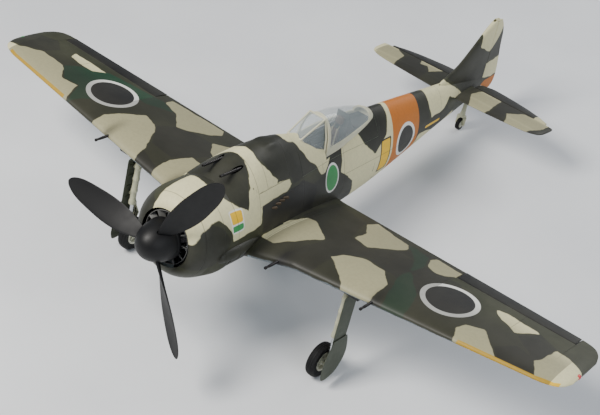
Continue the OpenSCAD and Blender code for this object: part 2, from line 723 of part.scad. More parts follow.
// Blade: distance out, chord, pitch, thickness
BLADE = [
    [9, 13, 58, 9],
    [24, 17, 52, 7],
    [40, 26, 44, 6],
    [65, 36, 35, 4.6],
    [95, 40, 27, 3.6],
    [125, 37, 22, 2.8],
    [150, 28, 19, 2.2],
    [prop_r - 8, 17, 17, 1.6],
    [prop_r, 6, 16, 1]];
module blade() {
    shape = [[-0.5, 0], [-0.42, 0.36], [-0.2, 0.5], [0.1, 0.42], [0.35, 0.2], [0.5, 0],
        [0.35, -0.14], [0.1, -0.22], [-0.2, -0.26], [-0.42, -0.2]];
    loft([for (b = BLADE) [for (p = shape) let (u = p[0] * b[1], v = p[1] * b[3])
        [b[0], u * cos(b[2]) - v * sin(b[2]), u * sin(b[2]) + v * cos(b[2])]]]);
}
module propeller() {
    color("black") stance() aft(prop_y) difference() {
        union() {
            translate([0, 0, -7]) cylinder(r = 12, h = 14);
            for (k = [0:2]) rotate([0, 0, -prop_angle - 120 * k]) blade();
        }
        translate([0, 0, -20]) cylinder(r = shaft_r, h = 40);
    }
}
module cooling_fan() {
    blades = 12;
    color("black") stance() aft(0) difference() {
        union() {
            translate([0, 0, spinner_len + 2]) cylinder(r = 19, h = 60 - spinner_len - 2);
            for (i = [0:blades - 1]) rotate([0, 0, 360 * i / blades])
                translate([18, 0, (62 + spinner_len) / 2]) rotate([50, 0, 0]) translate([0, -0.7, -4])
                    cube([22, 1.4, 8]);
        }
        translate([0, 0, 40]) cylinder(r = shaft_r, h = 40);
    }
}

// ---------- equipment ----------
tray_z = -18;
module tray_holes() {
    for (x = [-22, 22]) block([x - 6.2, 454.8, -60], [x + 6.2, 478.2, 0]);
}
module battery_tray() {
    color("burlywood") stance() difference() {
        block([-bay_half, 142, tray_z - 2], [bay_half, 498, tray_z]);
        tray_holes();
    }
}
module battery() {
    color("gold") stance() block([-17, 150, tray_z], [17, 256, tray_z + 24]);
}
module speed_controller() {
    color("teal") stance() block([-15, 290, tray_z], [15, 345, tray_z + 11]);
}
module receiver() {
    color("gray") stance() block([-12, 362, tray_z], [12, 404, tray_z + 13]);
}
tail_servo_y = 472;
servo_top = tray_z + 4;
module tail_servos() {
    color("mediumblue") stance() for (x = [-22, 22]) {
        block([x - 6, 455, servo_top - 22], [x + 6, 478, servo_top]);
        translate([x, tail_servo_y, servo_top]) cylinder(r = 2.5, h = 2);
    }
}
tail_arm = 13;
rod_z = servo_top + 5.2;
elevator_rod_a = [-22 + tail_arm, tail_servo_y, rod_z];
elevator_rod_b = [-horn_x - 2.4, elevator_axis[0], stab_z - horn_reach];
rudder_rod_a = [22 - tail_arm, tail_servo_y, rod_z];
rudder_rod_b = [13, rudder_y, 33.4];
module tail_arm_shape() {
    translate([22, tail_servo_y, servo_top + 2]) difference() {
        union() {
            cylinder(r = 4, h = 1.6);
            translate([-tail_arm, -2.6, 0]) cube([tail_arm, 5.2, 1.6]);
            translate([-tail_arm, 0, 0]) cylinder(r = 3.4, h = 1.6);
        }
        translate([-tail_arm, 0, -1]) cylinder(r = 2.2, h = 4);
    }
}
module rudder_servo_arm() { color("white") stance() tail_arm_shape(); }
module elevator_servo_arm() { color("white") stance() mirror([1, 0, 0]) tail_arm_shape(); }
module tail_rod(a, b) {
    bar(a, b, rod_r);
    translate(a) sphere(r = rod_r + 0.3);
    translate(b) sphere(r = rod_r + 0.3);
    bar(a - [0, 0, 4], a, rod_r);
}
module elevator_pushrod() {
    color("silver") stance() {
        tail_rod(elevator_rod_a, elevator_rod_b);
        bar(elevator_rod_b, elevator_rod_b + [4, 0, 0], rod_r);
    }
}
module rudder_pushrod() {
    color("silver") stance() {
        tail_rod(rudder_rod_a, rudder_rod_b);
        bar(rudder_rod_b - [0, 0, 4], rudder_rod_b, rod_r);
    }
}

// ---------- hatch and canopy ----------
// Hood: distance aft, half width at the sill, sill height, top
HOOD = [[373, 31, 50, 113], [410, 31, 56, 112], [450, 27, 63, 105], [490, 21, 70, 96], [516, 15, 75, 87]];
hood_steps = 14;
function hood_ring(y, grow, drop) =
    let (w = curve(HOOD, y, 1) + grow, lo = curve(HOOD, y, 2) - min(drop, 0), hi = curve(HOOD, y, 3) + grow)
    concat([for (i = [0:hood_steps]) let (a = 180 * i / hood_steps)
        [w * sign(cos(a)) * pow(abs(cos(a)), 0.95), y, lo + (hi - lo) * pow(sin(a), 0.8)]],
        drop > 0 ? [[-w, y, lo - drop], [w, y, lo - drop]] : []);
module hood_loft(y0, y1, grow, drop, step) {
    loft([for (y = [y0:step:y1]) hood_ring(y, grow, drop)]);
}
WINDSCREEN = [[13.5, 319, 90], [16, 372, 113], [31, 372, 50], [27, 345, 62], [14, 319, 84]];
module windscreen_solid(back, in) {
    hull() for (p = WINDSCREEN, s = [-1, 1]) translate([s * (p[0] - in), p[1] + back, p[2] - in]) cube(0.01);
}
module sill_zone() {
    translate([-60, 0, 0]) rotate([90, 0, 90]) linear_extrude(120)
        polygon([[371, 48.8], [518, 73.8], [518, 150], [371, 150]]);
}
tub = [[-21, 346, 20], [21, 476, 52]];
module hatch_deck() {
    color("darkolivegreen") stance() difference() {
        intersection() {
            body_loft();
            hatch_zone(gap);
        }
        sill_zone();
        windscreen_solid(0, 0);
        block([tub[0][0], tub[0][1], 0], [tub[1][0], tub[1][1], 120]);
    }
}
module cockpit_tub() {
    color("dimgray") stance() difference() {
        union() {
            block(tub[0], [tub[1][0], tub[1][1], 49]);
            block([-20, 352, 48], [20, 358, 64]);
        }
        block([tub[0][0] + 1.5, 360, tub[0][2] + 1.5], [tub[1][0] - 1.5, tub[1][1] - 1.5, 60]);
        block([tub[0][0] + 1.5, 347.5, tub[0][2] + 1.5], [tub[1][0] - 1.5, 352.5, 46]);
    }
}
module pilot_seat() {
    color("saddlebrown") stance() {
        block([-12, 408, 21.5], [12, 440, 30]);
        block([-12, 436, 29], [12, 442, 74]);
        block([-9, 438, 73], [9, 450, 92]);
    }
}
module windscreen() {
    color([0.8, 0.9, 0.95, 0.4]) stance() difference() {
        windscreen_solid(0, 0);
        windscreen_solid(2.5, 1.4);
    }
}
module canopy_hood() {
    color([0.8, 0.9, 0.95, 0.4]) stance() difference() {
        hood_loft(373.5, 515.5, 0, 0, 142 / 8);
        hood_loft(370, 506, -1.3, 8, 136 / 8);
    }
}
module canopy_frame() {
    bow_lift = -1.5;
    color("beige") stance() {
        difference() {
            union() {
                hood_loft(373.5, 379.5, 1, bow_lift, 6);
                hood_loft(438, 441, 1, bow_lift, 3);
            }
            hood_loft(372, 516, 0.05, 9, 18);
        }
        for (s = [-1, 1]) bar([s * 14.7, 318.4, 91.4], [s * 17.2, 371, 114.4], 1.3);
    }
}

fuselage();
cowl();
dummy_engine();
firewall();
motor_base();
battery();
speed_controller();
battery_tray();
receiver();
tail_servos();
aileron_servos();
stabiliser();
wing_left();
wing_right();
spar_tube();
screws();
wing_cannons();
cowl_guns();
nav_lights();
retract_units();
spinner();
spinner_backplate();
propeller();
cooling_fan();
prop_shaft();
motor_can();
prop_nut();
hatch_deck();
cockpit_tub();
pilot_seat();
windscreen();
canopy_hood();
canopy_frame();
elevators();
elevator_horn();
rudder();
rudder_horn();
tail_fork();
tail_hub();
tail_tyre();
aileron_left();
aileron_right();
leg_left();
leg_right();
gear_doors_left();
gear_doors_right();
wheel_hub_left();
wheel_hub_right();
tyre_left();
tyre_right();
elevator_servo_arm();
rudder_servo_arm();
elevator_pushrod();
rudder_pushrod();
aileron_servo_arm_left();
aileron_servo_arm_right();
aileron_pushrod_left();
aileron_pushrod_right();
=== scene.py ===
"""Looks of a radio-controlled foam warbird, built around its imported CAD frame.

Shapes are worked out level, in millimetres: X to the left wing, Y aft from the spinner's tip, Z up from the
thrust line. to_row() then carries them to the frame, where the model stands nose up on its three wheels.
"""
import json
import math

import bmesh
import bpy
import numpy as np
from mathutils import Matrix, Vector


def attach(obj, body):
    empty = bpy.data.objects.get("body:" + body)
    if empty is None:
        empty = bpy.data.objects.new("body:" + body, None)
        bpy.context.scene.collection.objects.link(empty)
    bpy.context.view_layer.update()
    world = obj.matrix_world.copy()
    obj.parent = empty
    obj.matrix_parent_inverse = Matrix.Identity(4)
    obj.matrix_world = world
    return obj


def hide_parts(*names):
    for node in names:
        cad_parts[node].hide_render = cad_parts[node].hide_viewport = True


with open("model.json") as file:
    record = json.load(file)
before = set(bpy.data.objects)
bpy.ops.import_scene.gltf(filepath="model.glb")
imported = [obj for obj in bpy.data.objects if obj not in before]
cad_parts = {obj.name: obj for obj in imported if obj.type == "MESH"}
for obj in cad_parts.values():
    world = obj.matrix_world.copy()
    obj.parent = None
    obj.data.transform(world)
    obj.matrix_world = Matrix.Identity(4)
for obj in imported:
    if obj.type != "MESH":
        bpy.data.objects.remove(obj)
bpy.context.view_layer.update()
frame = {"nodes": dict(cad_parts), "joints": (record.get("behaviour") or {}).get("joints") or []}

# ---------- frame ----------
spin = next(j for j in frame["joints"] if j["name"] == "propeller_spin")
TIP = np.array(spin["pos_m"], float)
SIDE = np.array([1.0, 0.0, 0.0])
AFT = np.array(spin["axis"], float)
AFT /= np.linalg.norm(AFT)
UP = np.cross(SIDE, AFT)
AXES = np.stack([SIDE, AFT, UP])
MM = 0.001
# Field values that leave an area wholly unpainted, or wholly painted
FAR, DEEP = -200.0, 30.0
ORIGIN, ACROSS, THRUST = (0, 0, 0), (1, 0, 0), (0, 1, 0)
NAMES = {1: "left", -1: "right"}


def to_row(points):
    """Level millimetres to the frame's metres."""
    return TIP + np.asarray(points, float) @ AXES * MM


def to_level(points):
    """The frame's metres to level millimetres."""
    return (np.asarray(points, float) - TIP) @ AXES.T / MM


# ---------- small mathematics ----------
def mix(a, b, t):
    return a + (b - a) * t


def power(value, exponent):
    """A power of the size of a value, with its sign kept."""
    return np.sign(value) * np.abs(value) ** exponent


def curve(table, at, column):
    """Smooth curve through the rows of a table, read at the first column."""
    rows = np.array(table, float)
    xs, ys = rows[:, 0], rows[:, column]
    last = len(xs) - 1
    slopes = np.array([(ys[min(i + 1, last)] - ys[max(i - 1, 0)]) / (xs[min(i + 1, last)] - xs[max(i - 1, 0)])
                       for i in range(last + 1)])
    at = np.asarray(at, float)
    i = np.clip(np.searchsorted(xs, at, side="right") - 1, 0, last - 1)
    h = xs[i + 1] - xs[i]
    t = (at - xs[i]) / h
    return ((2 * t**3 - 3 * t**2 + 1) * ys[i] + (t**3 - 2 * t**2 + t) * h * slopes[i]
            + (3 * t**2 - 2 * t**3) * ys[i + 1] + (t**3 - t**2) * h * slopes[i + 1])


def linear(table, at, column):
    rows = np.array(table, float)
    return np.interp(at, rows[:, 0], rows[:, column])


def inside(x, y, outline):
    """Signed distance to a closed outline, positive inside it."""
    points = np.array(outline, float)
    best = np.full(np.shape(x), 1e9)
    crossings = np.zeros(np.shape(x), int)
    for (ax, ay), (bx, by) in zip(points, np.roll(points, -1, axis=0)):
        ex, ey = bx - ax, by - ay
        t = np.clip(((x - ax) * ex + (y - ay) * ey) / (ex * ex + ey * ey), 0, 1)
        best = np.minimum(best, np.hypot(x - ax - t * ex, y - ay - t * ey))
        if ay != by:
            spans = (ay > y) != (by > y)
            crossings += spans & (x < ax + (y - ay) * ex / ey)
    return np.where(crossings % 2 == 1, best, -best)


def any_of(x, y, outlines):
    """Signed distance to the union of several outlines."""
    out = np.full(np.shape(x), FAR)
    for outline in outlines:
        out = np.maximum(out, inside(x, y, outline))
    return out


def box_inside(x, y, x0, x1, y0, y1):
    return np.minimum(np.minimum(x - x0, x1 - x), np.minimum(y - y0, y1 - y))


def srgb(r, g, b):
    """Screen colour, 0 to 255, as a linear one."""
    out = []
    for c in (r, g, b):
        c /= 255
        out.append(c / 12.92 if c <= 0.04045 else ((c + 0.055) / 1.055) ** 2.4)
    return (*out, 1.0)


# ---------- meshes ----------
def new_piece(name, points, faces, sharp=32):
    """Object from level points, with its normals made consistent and its sharp edges kept."""
    mesh = bpy.data.meshes.new(name)
    mesh.from_pydata([tuple(p) for p in to_row(points)], [], faces)
    bm = bmesh.new()
    bm.from_mesh(mesh)
    bmesh.ops.recalc_face_normals(bm, faces=bm.faces)
    bm.to_mesh(mesh)
    bm.free()
    piece = bpy.data.objects.new(name, mesh)
    bpy.context.scene.collection.objects.link(piece)
    soften(piece, sharp)
    return piece


def soften(piece, sharp=32):
    piece.data.shade_smooth()
    piece.data.set_sharp_from_angle(angle=math.radians(sharp))


def grid_faces(rows, columns, closed=True, start=0):
    last = columns if closed else columns - 1
    return [(start + i * columns + j, start + i * columns + (j + 1) % columns,
             start + (i + 1) * columns + (j + 1) % columns, start + (i + 1) * columns + j)
            for i in range(rows - 1) for j in range(last)]


def loft(name, rings, sharp=32):
    """Closed solid through rings that all have the same number of points."""
    rings = np.asarray(rings, float)
    m, n = rings.shape[:2]
    faces = grid_faces(m, n) + [tuple(range(n - 1, -1, -1)), tuple(range((m - 1) * n, m * n))]
    return new_piece(name, rings.reshape(-1, 3), faces, sharp)


def axes_about(direction, hint=(0, 0, 1)):
    d = np.array(direction, float)
    d /= np.linalg.norm(d)
    h = np.array(hint, float)
    if abs(d @ h) > 0.95:
        h = np.array([1.0, 0.0, 0.0])
    a = np.cross(h, d)
    a /= np.linalg.norm(a)
    return a, np.cross(d, a), d


def whole_turn(steps):
    return np.linspace(0, 2 * math.pi, steps, endpoint=False)


def hoop(name, rings, sharp=32):
    """Closed solid through rings of which the last joins the first again."""
    rings = np.asarray(rings, float)
    m, n = rings.shape[:2]
    faces = grid_faces(m, n) + [((m - 1) * n + j, (m - 1) * n + (j + 1) % n, (j + 1) % n,
                                 j) for j in range(n)]
    return new_piece(name, rings.reshape(-1, 3), faces, sharp)


def outward(direction, steps):
    """Unit vectors around a direction, and the direction itself."""
    a, b, d = axes_about(direction)
    turn = whole_turn(steps)[:, None]
    return np.cos(turn) * a + np.sin(turn) * b, d


def lathe(name, profile, origin=ORIGIN, direction=THRUST, steps=64, sharp=32):
    """Closed ring turned from a closed profile of (radius, height) points."""
    out, d = outward(direction, steps)
    profile = np.array(profile, float)
    rings = np.asarray(origin, float) + profile[None, :, :1] * out[:, None, :] + profile[None, :, 1:] * d
    return hoop(name, rings, sharp)


def solid_lathe(name, profile, origin=ORIGIN, direction=THRUST, steps=48, sharp=32):
    """Solid of revolution: the profile's ends are closed with flat caps."""
    out, d = outward(direction, steps)
    return loft(name, [np.asarray(origin, float) + r * out + h * d for r, h in profile], sharp)


def tube(name, points, radius, steps=12, sharp=60):
    """Round bar along a path; the radius may change from point to point."""
    points = np.array(points, float)
    radii = np.broadcast_to(radius, len(points))
    along = np.gradient(points, axis=0)
    rings = []
    for p, v, r in zip(points, along, radii):
        rings.append(p + r * outward(v, steps)[0])
    return loft(name, rings, sharp)


def join(name, pieces, sharp=32):
    """One object from several; the first one's object is kept."""
    first = pieces[0]
    bm = bmesh.new()
    for piece in pieces:
        bm.from_mesh(piece.data)
    bm.to_mesh(first.data)
    bm.free()
    for piece in pieces[1:]:
        bpy.data.objects.remove(piece)
    first.name = name
    first.data.name = name
    soften(first, sharp)
    return first


def block(name, low, high, bevel=0.0, segments=2):
    """Box between two level corners, with rounded edges."""
    low, high = np.array(low, float), np.array(high, float)
    corners = [(x, y, z) for x in (low[0], high[0]) for y in (low[1], high[1]) for z in (low[2], high[2])]
    faces = [(0, 1, 3, 2), (4, 6, 7, 5), (0, 4, 5, 1), (2, 3, 7, 6), (0, 2, 6, 4), (1, 5, 7, 3)]
    piece = new_piece(name, corners, faces)
    if bevel:
        bm = bmesh.new()
        bm.from_mesh(piece.data)
        bmesh.ops.bevel(bm, geom=list(bm.edges), offset=bevel * MM, segments=segments, affect="EDGES",
                        profile=0.5)
        bm.to_mesh(piece.data)
        bm.free()
        soften(piece, 50)
    return piece


def prism(name, outline, low, high, plane="xy"):
    """Straight solid over an outline in the xy, yz or xz plane."""
    order = {"xy": (0, 1, 2), "yz": (1, 2, 0), "xz": (0, 2, 1)}[plane]
    rings = []
    for height in (low, high):
        ring = np.zeros((len(outline), 3))
        for k, (u, v) in enumerate(outline):
            ring[k, order[0]], ring[k, order[1]], ring[k, order[2]] = u, v, height
        rings.append(ring)
    return loft(name, rings)


def carve(piece, tools, operation="DIFFERENCE"):
    """Applies one boolean for each tool, and removes the tools."""
    for tool in tools:
        cut = piece.modifiers.new("cut", "BOOLEAN")
        cut.operation = operation
        cut.solver = "EXACT"
        cut.material_mode = "TRANSFER"
        cut.object = tool
    bpy.context.view_layer.update()
    depsgraph = bpy.context.evaluated_depsgraph_get()
    mesh = bpy.data.meshes.new_from_object(piece.evaluated_get(depsgraph))
    piece.modifiers.clear()
    piece.data = mesh
    mesh.name = piece.name
    for tool in tools:
        bpy.data.objects.remove(tool)
    soften(piece)
    return piece


def coated(tools, material):
    """The faces that a cutting tool leaves behind take its material."""
    for tool in tools:
        tool.data.materials.append(material)
    return tools


def move_points(piece, points):
    piece.data.vertices.foreach_set("co", to_row(points).ravel())


def finish(piece, body, material, slot, *nodes):
    """Gives a piece its body and material, and hides the CAD nodes that it stands for. The slot is not used.
    """
    if not piece.data.materials:
        piece.data.materials.append(material)
    else:
        piece.data.materials[0] = material
    if nodes:
        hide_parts(*nodes)
    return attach(piece, body)


# ---------- materials ----------
class Paint:
    """A node material and short calls for adding to it."""

    def __init__(self, name):
        self.material = bpy.data.materials.new(name)
        self.material.use_nodes = True
        self.nodes = self.material.node_tree.nodes
        self.links = self.material.node_tree.links
        self.shader = self.nodes["Principled BSDF"]

    def set(self, **values):
        for key, value in values.items():
            self.shader.inputs[key.replace("_", " ")].default_value = value
        return self

    def node(self, kind, inputs=(), **settings):
        node = self.nodes.new("ShaderNode" + kind)
        for key, value in settings.items():
            setattr(node, key, value)
        for key, value in dict(inputs).items():
            if isinstance(value, bpy.types.NodeSocket):
                self.links.new(value, node.inputs[key])
            else:
                node.inputs[key].default_value = value
        return node

    def math(self, operation, *values):
        return self.node("Math", dict(enumerate(values)), operation=operation).outputs[0]

    def field(self, name):
        return self.node("Attribute", attribute_name=name).outputs["Fac"]

    def step(self, value, low, high):
        return self.node("MapRange", {"Value": value, "From Min": low, "From Max": high},
                         interpolation_type="SMOOTHSTEP").outputs[0]

    def blend(self, factor, a, b):
        node = self.node("Mix", {0: factor, 6: a, 7: b}, data_type="RGBA")
        return node.outputs[2]

    def noise(self, scale, detail=3.0, rough=0.5, stretch=(1, 1, 1)):
        where = self.node("TexCoord").outputs["Object"]
        if stretch != (1, 1, 1):
            where = self.node("Mapping", {"Vector": where, "Scale": stretch}).outputs[0]
        return self.node("TexNoise", {"Vector": where, "Scale": scale, "Detail": detail, "Roughness": rough})

    def bump(self, height, distance, strength=1.0, below=None):
        inputs = {"Height": height, "Distance": distance, "Strength": strength}
        if below is not None:
            inputs["Normal"] = below
        return self.node("Bump", inputs).outputs[0]

    def use(self, color=None, roughness=None, normal=None):
        for key, value in (("Base Color", color), ("Roughness", roughness), ("Normal", normal)):
            if value is not None:
                self.links.new(value, self.shader.inputs[key])
        return self.material


CREAM = srgb(214, 208, 164)
OLIVE = srgb(42, 44, 25)
DARK = srgb(27, 28, 18)
GREEN = srgb(14, 54, 32)
NIGHT = srgb(11, 11, 11)
PALE_BLUE = srgb(150, 165, 172)
ORANGE = srgb(188, 106, 18)
YELLOW = srgb(236, 188, 30)
WHITE = srgb(228, 228, 222)
BLACK = srgb(20, 20, 22)
LEAF = srgb(48, 142, 76)

# Painted areas in the order they go on: field, colour, softness of the edge in mm, whether it is sprayed
LAYERS = [("dark", DARK, 2.5, True), ("green", GREEN, 2.0, True), ("night", NIGHT, 1.5, True),
          ("cream", CREAM, 1.6, True), ("under", PALE_BLUE, 2.5, True), ("orange", ORANGE, 0.6, False),
          ("yellow", YELLOW, 0.6, False), ("white", WHITE, 0.6, False), ("black", BLACK, 0.6, False),
          ("leaf", LEAF, 0.6, False), ("amber", YELLOW, 0.6, False)]


def sprayed_paint(name, lines):
    """Camouflage read from the distance fields, with panel lines, grime, fading and a fine foam grain.

    lines: along which field the line is crossed (0 or 1), its value, and the range of the other field."""
    p = Paint(name)
    warp = p.math("MULTIPLY", p.math("SUBTRACT", p.noise(55, 3).outputs["Fac"], 0.5), 7.0)
    color = OLIVE
    for field, tint, soft, sprayed in LAYERS:
        edge = p.math("ADD", p.field(field), warp) if sprayed else p.field(field)
        color = p.blend(p.step(edge, 0.0, soft), color, tint)
    # fading and mottling
    cloud = p.step(p.noise(9, 5, 0.6).outputs["Fac"], 0.3, 0.75)
    color = p.blend(p.math("MULTIPLY", cloud, 0.10), color, srgb(150, 148, 128))
    fine = p.step(p.noise(220, 2).outputs["Fac"], 0.35, 0.7)
    color = p.blend(p.math("MULTIPLY", fine, 0.07), color, srgb(30, 30, 26))
    # panel lines
    u, v = p.field("across"), p.field("along")
    groove = None
    for which, value, low, high in lines:
        crossed, other = (u, v) if which == 0 else (v, u)
        near = p.step(p.math("ABSOLUTE", p.math("SUBTRACT", crossed, value)), 0.55, 0.15)
        here = p.math("LESS_THAN", p.math("ABSOLUTE", p.math("SUBTRACT", other, (low + high) / 2)),
                      (high - low) / 2)
        mark = p.math("MULTIPLY", near, here)
        groove = mark if groove is None else p.math("MAXIMUM", groove, mark)
    color = p.blend(p.math("MULTIPLY", groove, 0.55), color, srgb(38, 36, 30))
    # soot, streaked along the flow
    streak = p.noise(60, 4, 0.6, stretch=(6, 0.6, 1)).outputs["Fac"]
    soot = p.math("MULTIPLY", p.field("soot"), p.math("ADD", p.math("MULTIPLY", streak, 0.7), 0.6))
    color = p.blend(p.math("MINIMUM", soot, 0.94), color, srgb(22, 21, 20))
    rough = p.math("ADD", p.math("MULTIPLY", p.noise(30, 4).outputs["Fac"], 0.16), 0.42)
    grain = p.bump(p.noise(900, 2, 0.6).outputs["Fac"], 0.0004, 0.12)
    cut = p.bump(groove, -0.0006, 0.8, grain)
    p.set(Specular_IOR_Level=0.35)
    return p.use(color, rough, cut)


def plain_paint(name, tint, rough=0.45, metal=0.0, mottle=0.12, scale=40, grain=0.05, worn=None):
    """Even finish with mottled tone, uneven gloss and a fine grain; worn adds scuffs in a second colour."""
    p = Paint(name)
    shade = tuple(c * 0.6 for c in tint[:3]) + (1.0,)
    tone = p.step(p.noise(scale, 5, 0.6).outputs["Fac"], 0.3, 0.7)
    color = p.blend(p.math("MULTIPLY", tone, mottle * 3), tint, shade)
    if worn is not None:
        scuff = p.step(p.noise(scale * 3, 8, 0.75).outputs["Fac"], 0.62, 0.70)
        color = p.blend(p.math("MULTIPLY", scuff, 0.5), color, worn)
    gloss = p.math("ADD", p.math("MULTIPLY", p.noise(scale * 2, 4).outputs["Fac"], 0.18), rough - 0.09)
    p.set(Metallic=metal, Specular_IOR_Level=0.5 if metal else 0.3)
    return p.use(color, gloss, p.bump(p.noise(scale * 20, 3).outputs["Fac"], 0.0004, grain * 3))


def glass_paint():
    p = Paint("canopy_glass")
    p.set(Alpha=0.22, Roughness=0.06, IOR=1.49, Coat_Weight=0.6, Coat_Roughness=0.04)
    tone = p.step(p.noise(14, 4).outputs["Fac"], 0.35, 0.75)
    color = p.blend(p.math("MULTIPLY", tone, 0.5), srgb(205, 214, 214), srgb(170, 184, 188))
    p.material.surface_render_method = "BLENDED"
    return p.use(color)


def lens_paint(name, tint):
    p = Paint(name)
    p.set(Roughness=0.12, Coat_Weight=1.0, Coat_Roughness=0.05, Emission_Strength=0.15, Emission_Color=tint)
    ribs = p.node("TexWave", {"Scale": 260.0, "Distortion": 0.0}).outputs["Fac"]
    color = p.blend(p.math("MULTIPLY", ribs, 0.3), tint, srgb(60, 8, 8))
    return p.use(color, None, p.bump(ribs, 0.0002, 0.3))


def plywood_paint():
    p = Paint("plywood")
    grain = p.noise(30, 6, 0.65, stretch=(14, 1, 1)).outputs["Fac"]
    color = p.blend(p.step(grain, 0.3, 0.7), srgb(206, 170, 118), srgb(150, 110, 66))
    return p.use(color, p.math("ADD", p.math("MULTIPLY", grain, 0.2), 0.5), p.bump(grain, 0.0003, 0.3))


def carbon_paint():
    p = Paint("carbon_tube")
    weave = p.node("TexChecker", {"Scale": 500.0, "Color1": srgb(18, 18, 20), "Color2": srgb(40, 41, 44)})
    p.set(Roughness=0.3, Coat_Weight=0.8, Coat_Roughness=0.1)
    return p.use(weave.outputs["Color"], None, p.bump(weave.outputs["Fac"], 0.0002, 0.3))


WING_LINES = [(0, 72, 0.0, 1.0), (0, 134, 0.12, 0.74), (0, 205, 0.2, 0.74), (0, 262, 0.02, 1.0),
              (0, 312, 0.12, 1.0), (0, 440, 0.14, 0.86), (0, 522, 0.2, 1.0),
              (1, 0.14, 74, 540), (1, 0.46, 74, 312), (1, 0.74, 74, 312)]
BODY_LINES = [(0, 66, -80, 80), (0, 99, -80, 62), (0, 128.2, -80, 120), (0, 182, -80, 100), (0, 205, 57, 120),
              (0, 262, 40, 120), (0, 300, -80, 60), (0, 358, -80, 50), (0, 420, -80, 56), (0, 530, -80, 100),
              (0, 660, -60, 90), (0, 735, -60, 90), (0, 800, -30, 74), (1, 57, 182, 262), (1, 38, 182, 300),
              (1, -22, 182, 420), (1, 12, 420, 735)]
TAIL_LINES = [(0, 60, 0, 1), (0, 120, 0, 1), (1, 0.12, 14, 175), (1, 0.62, 20, 180)]
FIN_LINES = [(1, 92, 780, 960), (1, 132, 830, 960)]

M = {
    "wing": sprayed_paint("wing_camouflage", WING_LINES),
    "body": sprayed_paint("fuselage_camouflage", BODY_LINES + FIN_LINES),
    "tail": sprayed_paint("tail_camouflage", TAIL_LINES),
    "surface": sprayed_paint("surface_camouflage", [(0, 200, 0, 1), (1, 0.5, 420, 520)]),
    "bay": plain_paint("bay_foam", srgb(126, 134, 116), 0.7, grain=0.3),
    "well": plain_paint("well_green", srgb(96, 104, 88), 0.6, grain=0.2),
    "matt_black": plain_paint("matt_black", srgb(8, 8, 9), 0.5, mottle=0.10, worn=srgb(24, 24, 26)),
    "engine": plain_paint("engine_black", srgb(40, 40, 42), 0.5, metal=0.3, worn=srgb(110, 110, 112)),
    "fins": plain_paint("cylinder_fins", srgb(112, 114, 116), 0.42, metal=0.7, worn=srgb(52, 50, 48)),
    "gear": plain_paint("gear_grey", srgb(176, 176, 150), 0.42, mottle=0.08, worn=srgb(130, 130, 112)),
    "metal": plain_paint("bright_metal", srgb(200, 202, 204), 0.24, metal=1.0, mottle=0.05),
    "can": plain_paint("motor_can_dark", srgb(52, 50, 54), 0.3, metal=0.8, mottle=0.05),
    "carbon": carbon_paint(),
    "plywood": plywood_paint(),
    "battery": plain_paint("battery_wrap", srgb(214, 170, 52), 0.3, mottle=0.06),
    "circuit": plain_paint("circuit_wrap", srgb(38, 74, 92), 0.28, mottle=0.06),
    "servo": plain_paint("servo_case", srgb(44, 58, 120), 0.3, mottle=0.06),
    "horn": plain_paint("horn_plastic", srgb(218, 216, 206), 0.4, mottle=0.06),
    "glass": glass_paint(),
    "frames": plain_paint("frame_cream", srgb(206, 203, 176), 0.45, mottle=0.10, worn=srgb(150, 146, 122)),
    "cockpit": plain_paint("cockpit_grey", srgb(66, 70, 70), 0.6, worn=srgb(120, 122, 118)),
    "leather": plain_paint("seat_leather", srgb(82, 54, 38), 0.5, scale=90, grain=0.4),
    "webbing": plain_paint("harness_webbing", srgb(168, 158, 128), 0.8, scale=120, grain=0.5),
    "tyre": plain_paint("tyre_rubber", srgb(10, 10, 11), 0.65, scale=70, grain=0.3, worn=srgb(26, 26, 26)),
    "rim": plain_paint("rim_cream", srgb(204, 204, 186), 0.4, mottle=0.08, worn=srgb(140, 140, 126)),
    "red": lens_paint("lens_red", srgb(196, 30, 26)),
    "green": lens_paint("lens_green", srgb(30, 150, 70)),
    "exhaust": plain_paint("exhaust_metal", srgb(84, 72, 58), 0.5, metal=0.7, worn=srgb(150, 138, 110)),
    "blade": plain_paint("blade_black", srgb(11, 11, 12), 0.55, mottle=0.06, worn=srgb(22, 22, 24)),
    "fan": plain_paint("fan_grey", srgb(92, 92, 90), 0.45, mottle=0.10, worn=srgb(130, 130, 128)),
    "gun": plain_paint("gun_metal", srgb(44, 42, 42), 0.4, metal=0.6, mottle=0.10, worn=srgb(120, 110, 92)),
    "wire": plain_paint("rod_steel", srgb(180, 182, 186), 0.3, metal=1.0, mottle=0.05),
    "door": plain_paint("door_grey", srgb(68, 73, 60), 0.5, mottle=0.10, worn=srgb(92, 98, 82)),
    "dial": plain_paint("dial_face", srgb(30, 30, 32), 0.25, mottle=0.04),
}

# ---------- main dimensions ----------
SEMI_SPAN, FIN_TOP, FIN_BACK = 562, 170, 901
BODY_FRONT, BODY_BACK = 128, 901
# Distance aft, half width, bottom, top, height of the widest point, fullness of the upper half
BODY = [
    [128, 72, -72, 72, 0, 2.0], [165, 69, -74, 92, -2, 1.9], [205, 65, -75, 103, -5, 1.8],
    [265, 61, -76, 104, -6, 1.7], [320, 56, -76, 93, -7, 1.65], [390, 51, -75, 88, -6, 1.5],
    [460, 47, -72, 88, -4, 1.5], [530, 43, -62, 84, 0, 1.6], [620, 36, -42, 79, 10, 1.7],
    [720, 28, -18, 72, 22, 1.8], [820, 19, 2, 66, 32, 1.9], [901, 9, 14, 60, 38, 2.0]]
# Height, leading edge, half thickness
FIN = [[50, 745, 8], [70, 748, 7.5], [82, 772, 7], [95, 800, 6.6], [125, 838, 5.8], [150, 866, 5],
       [163, 884, 4.2], [FIN_TOP, 897, 3]]
AIL_IN, AIL_OUT, END_GAP = 314, 520, 1.4
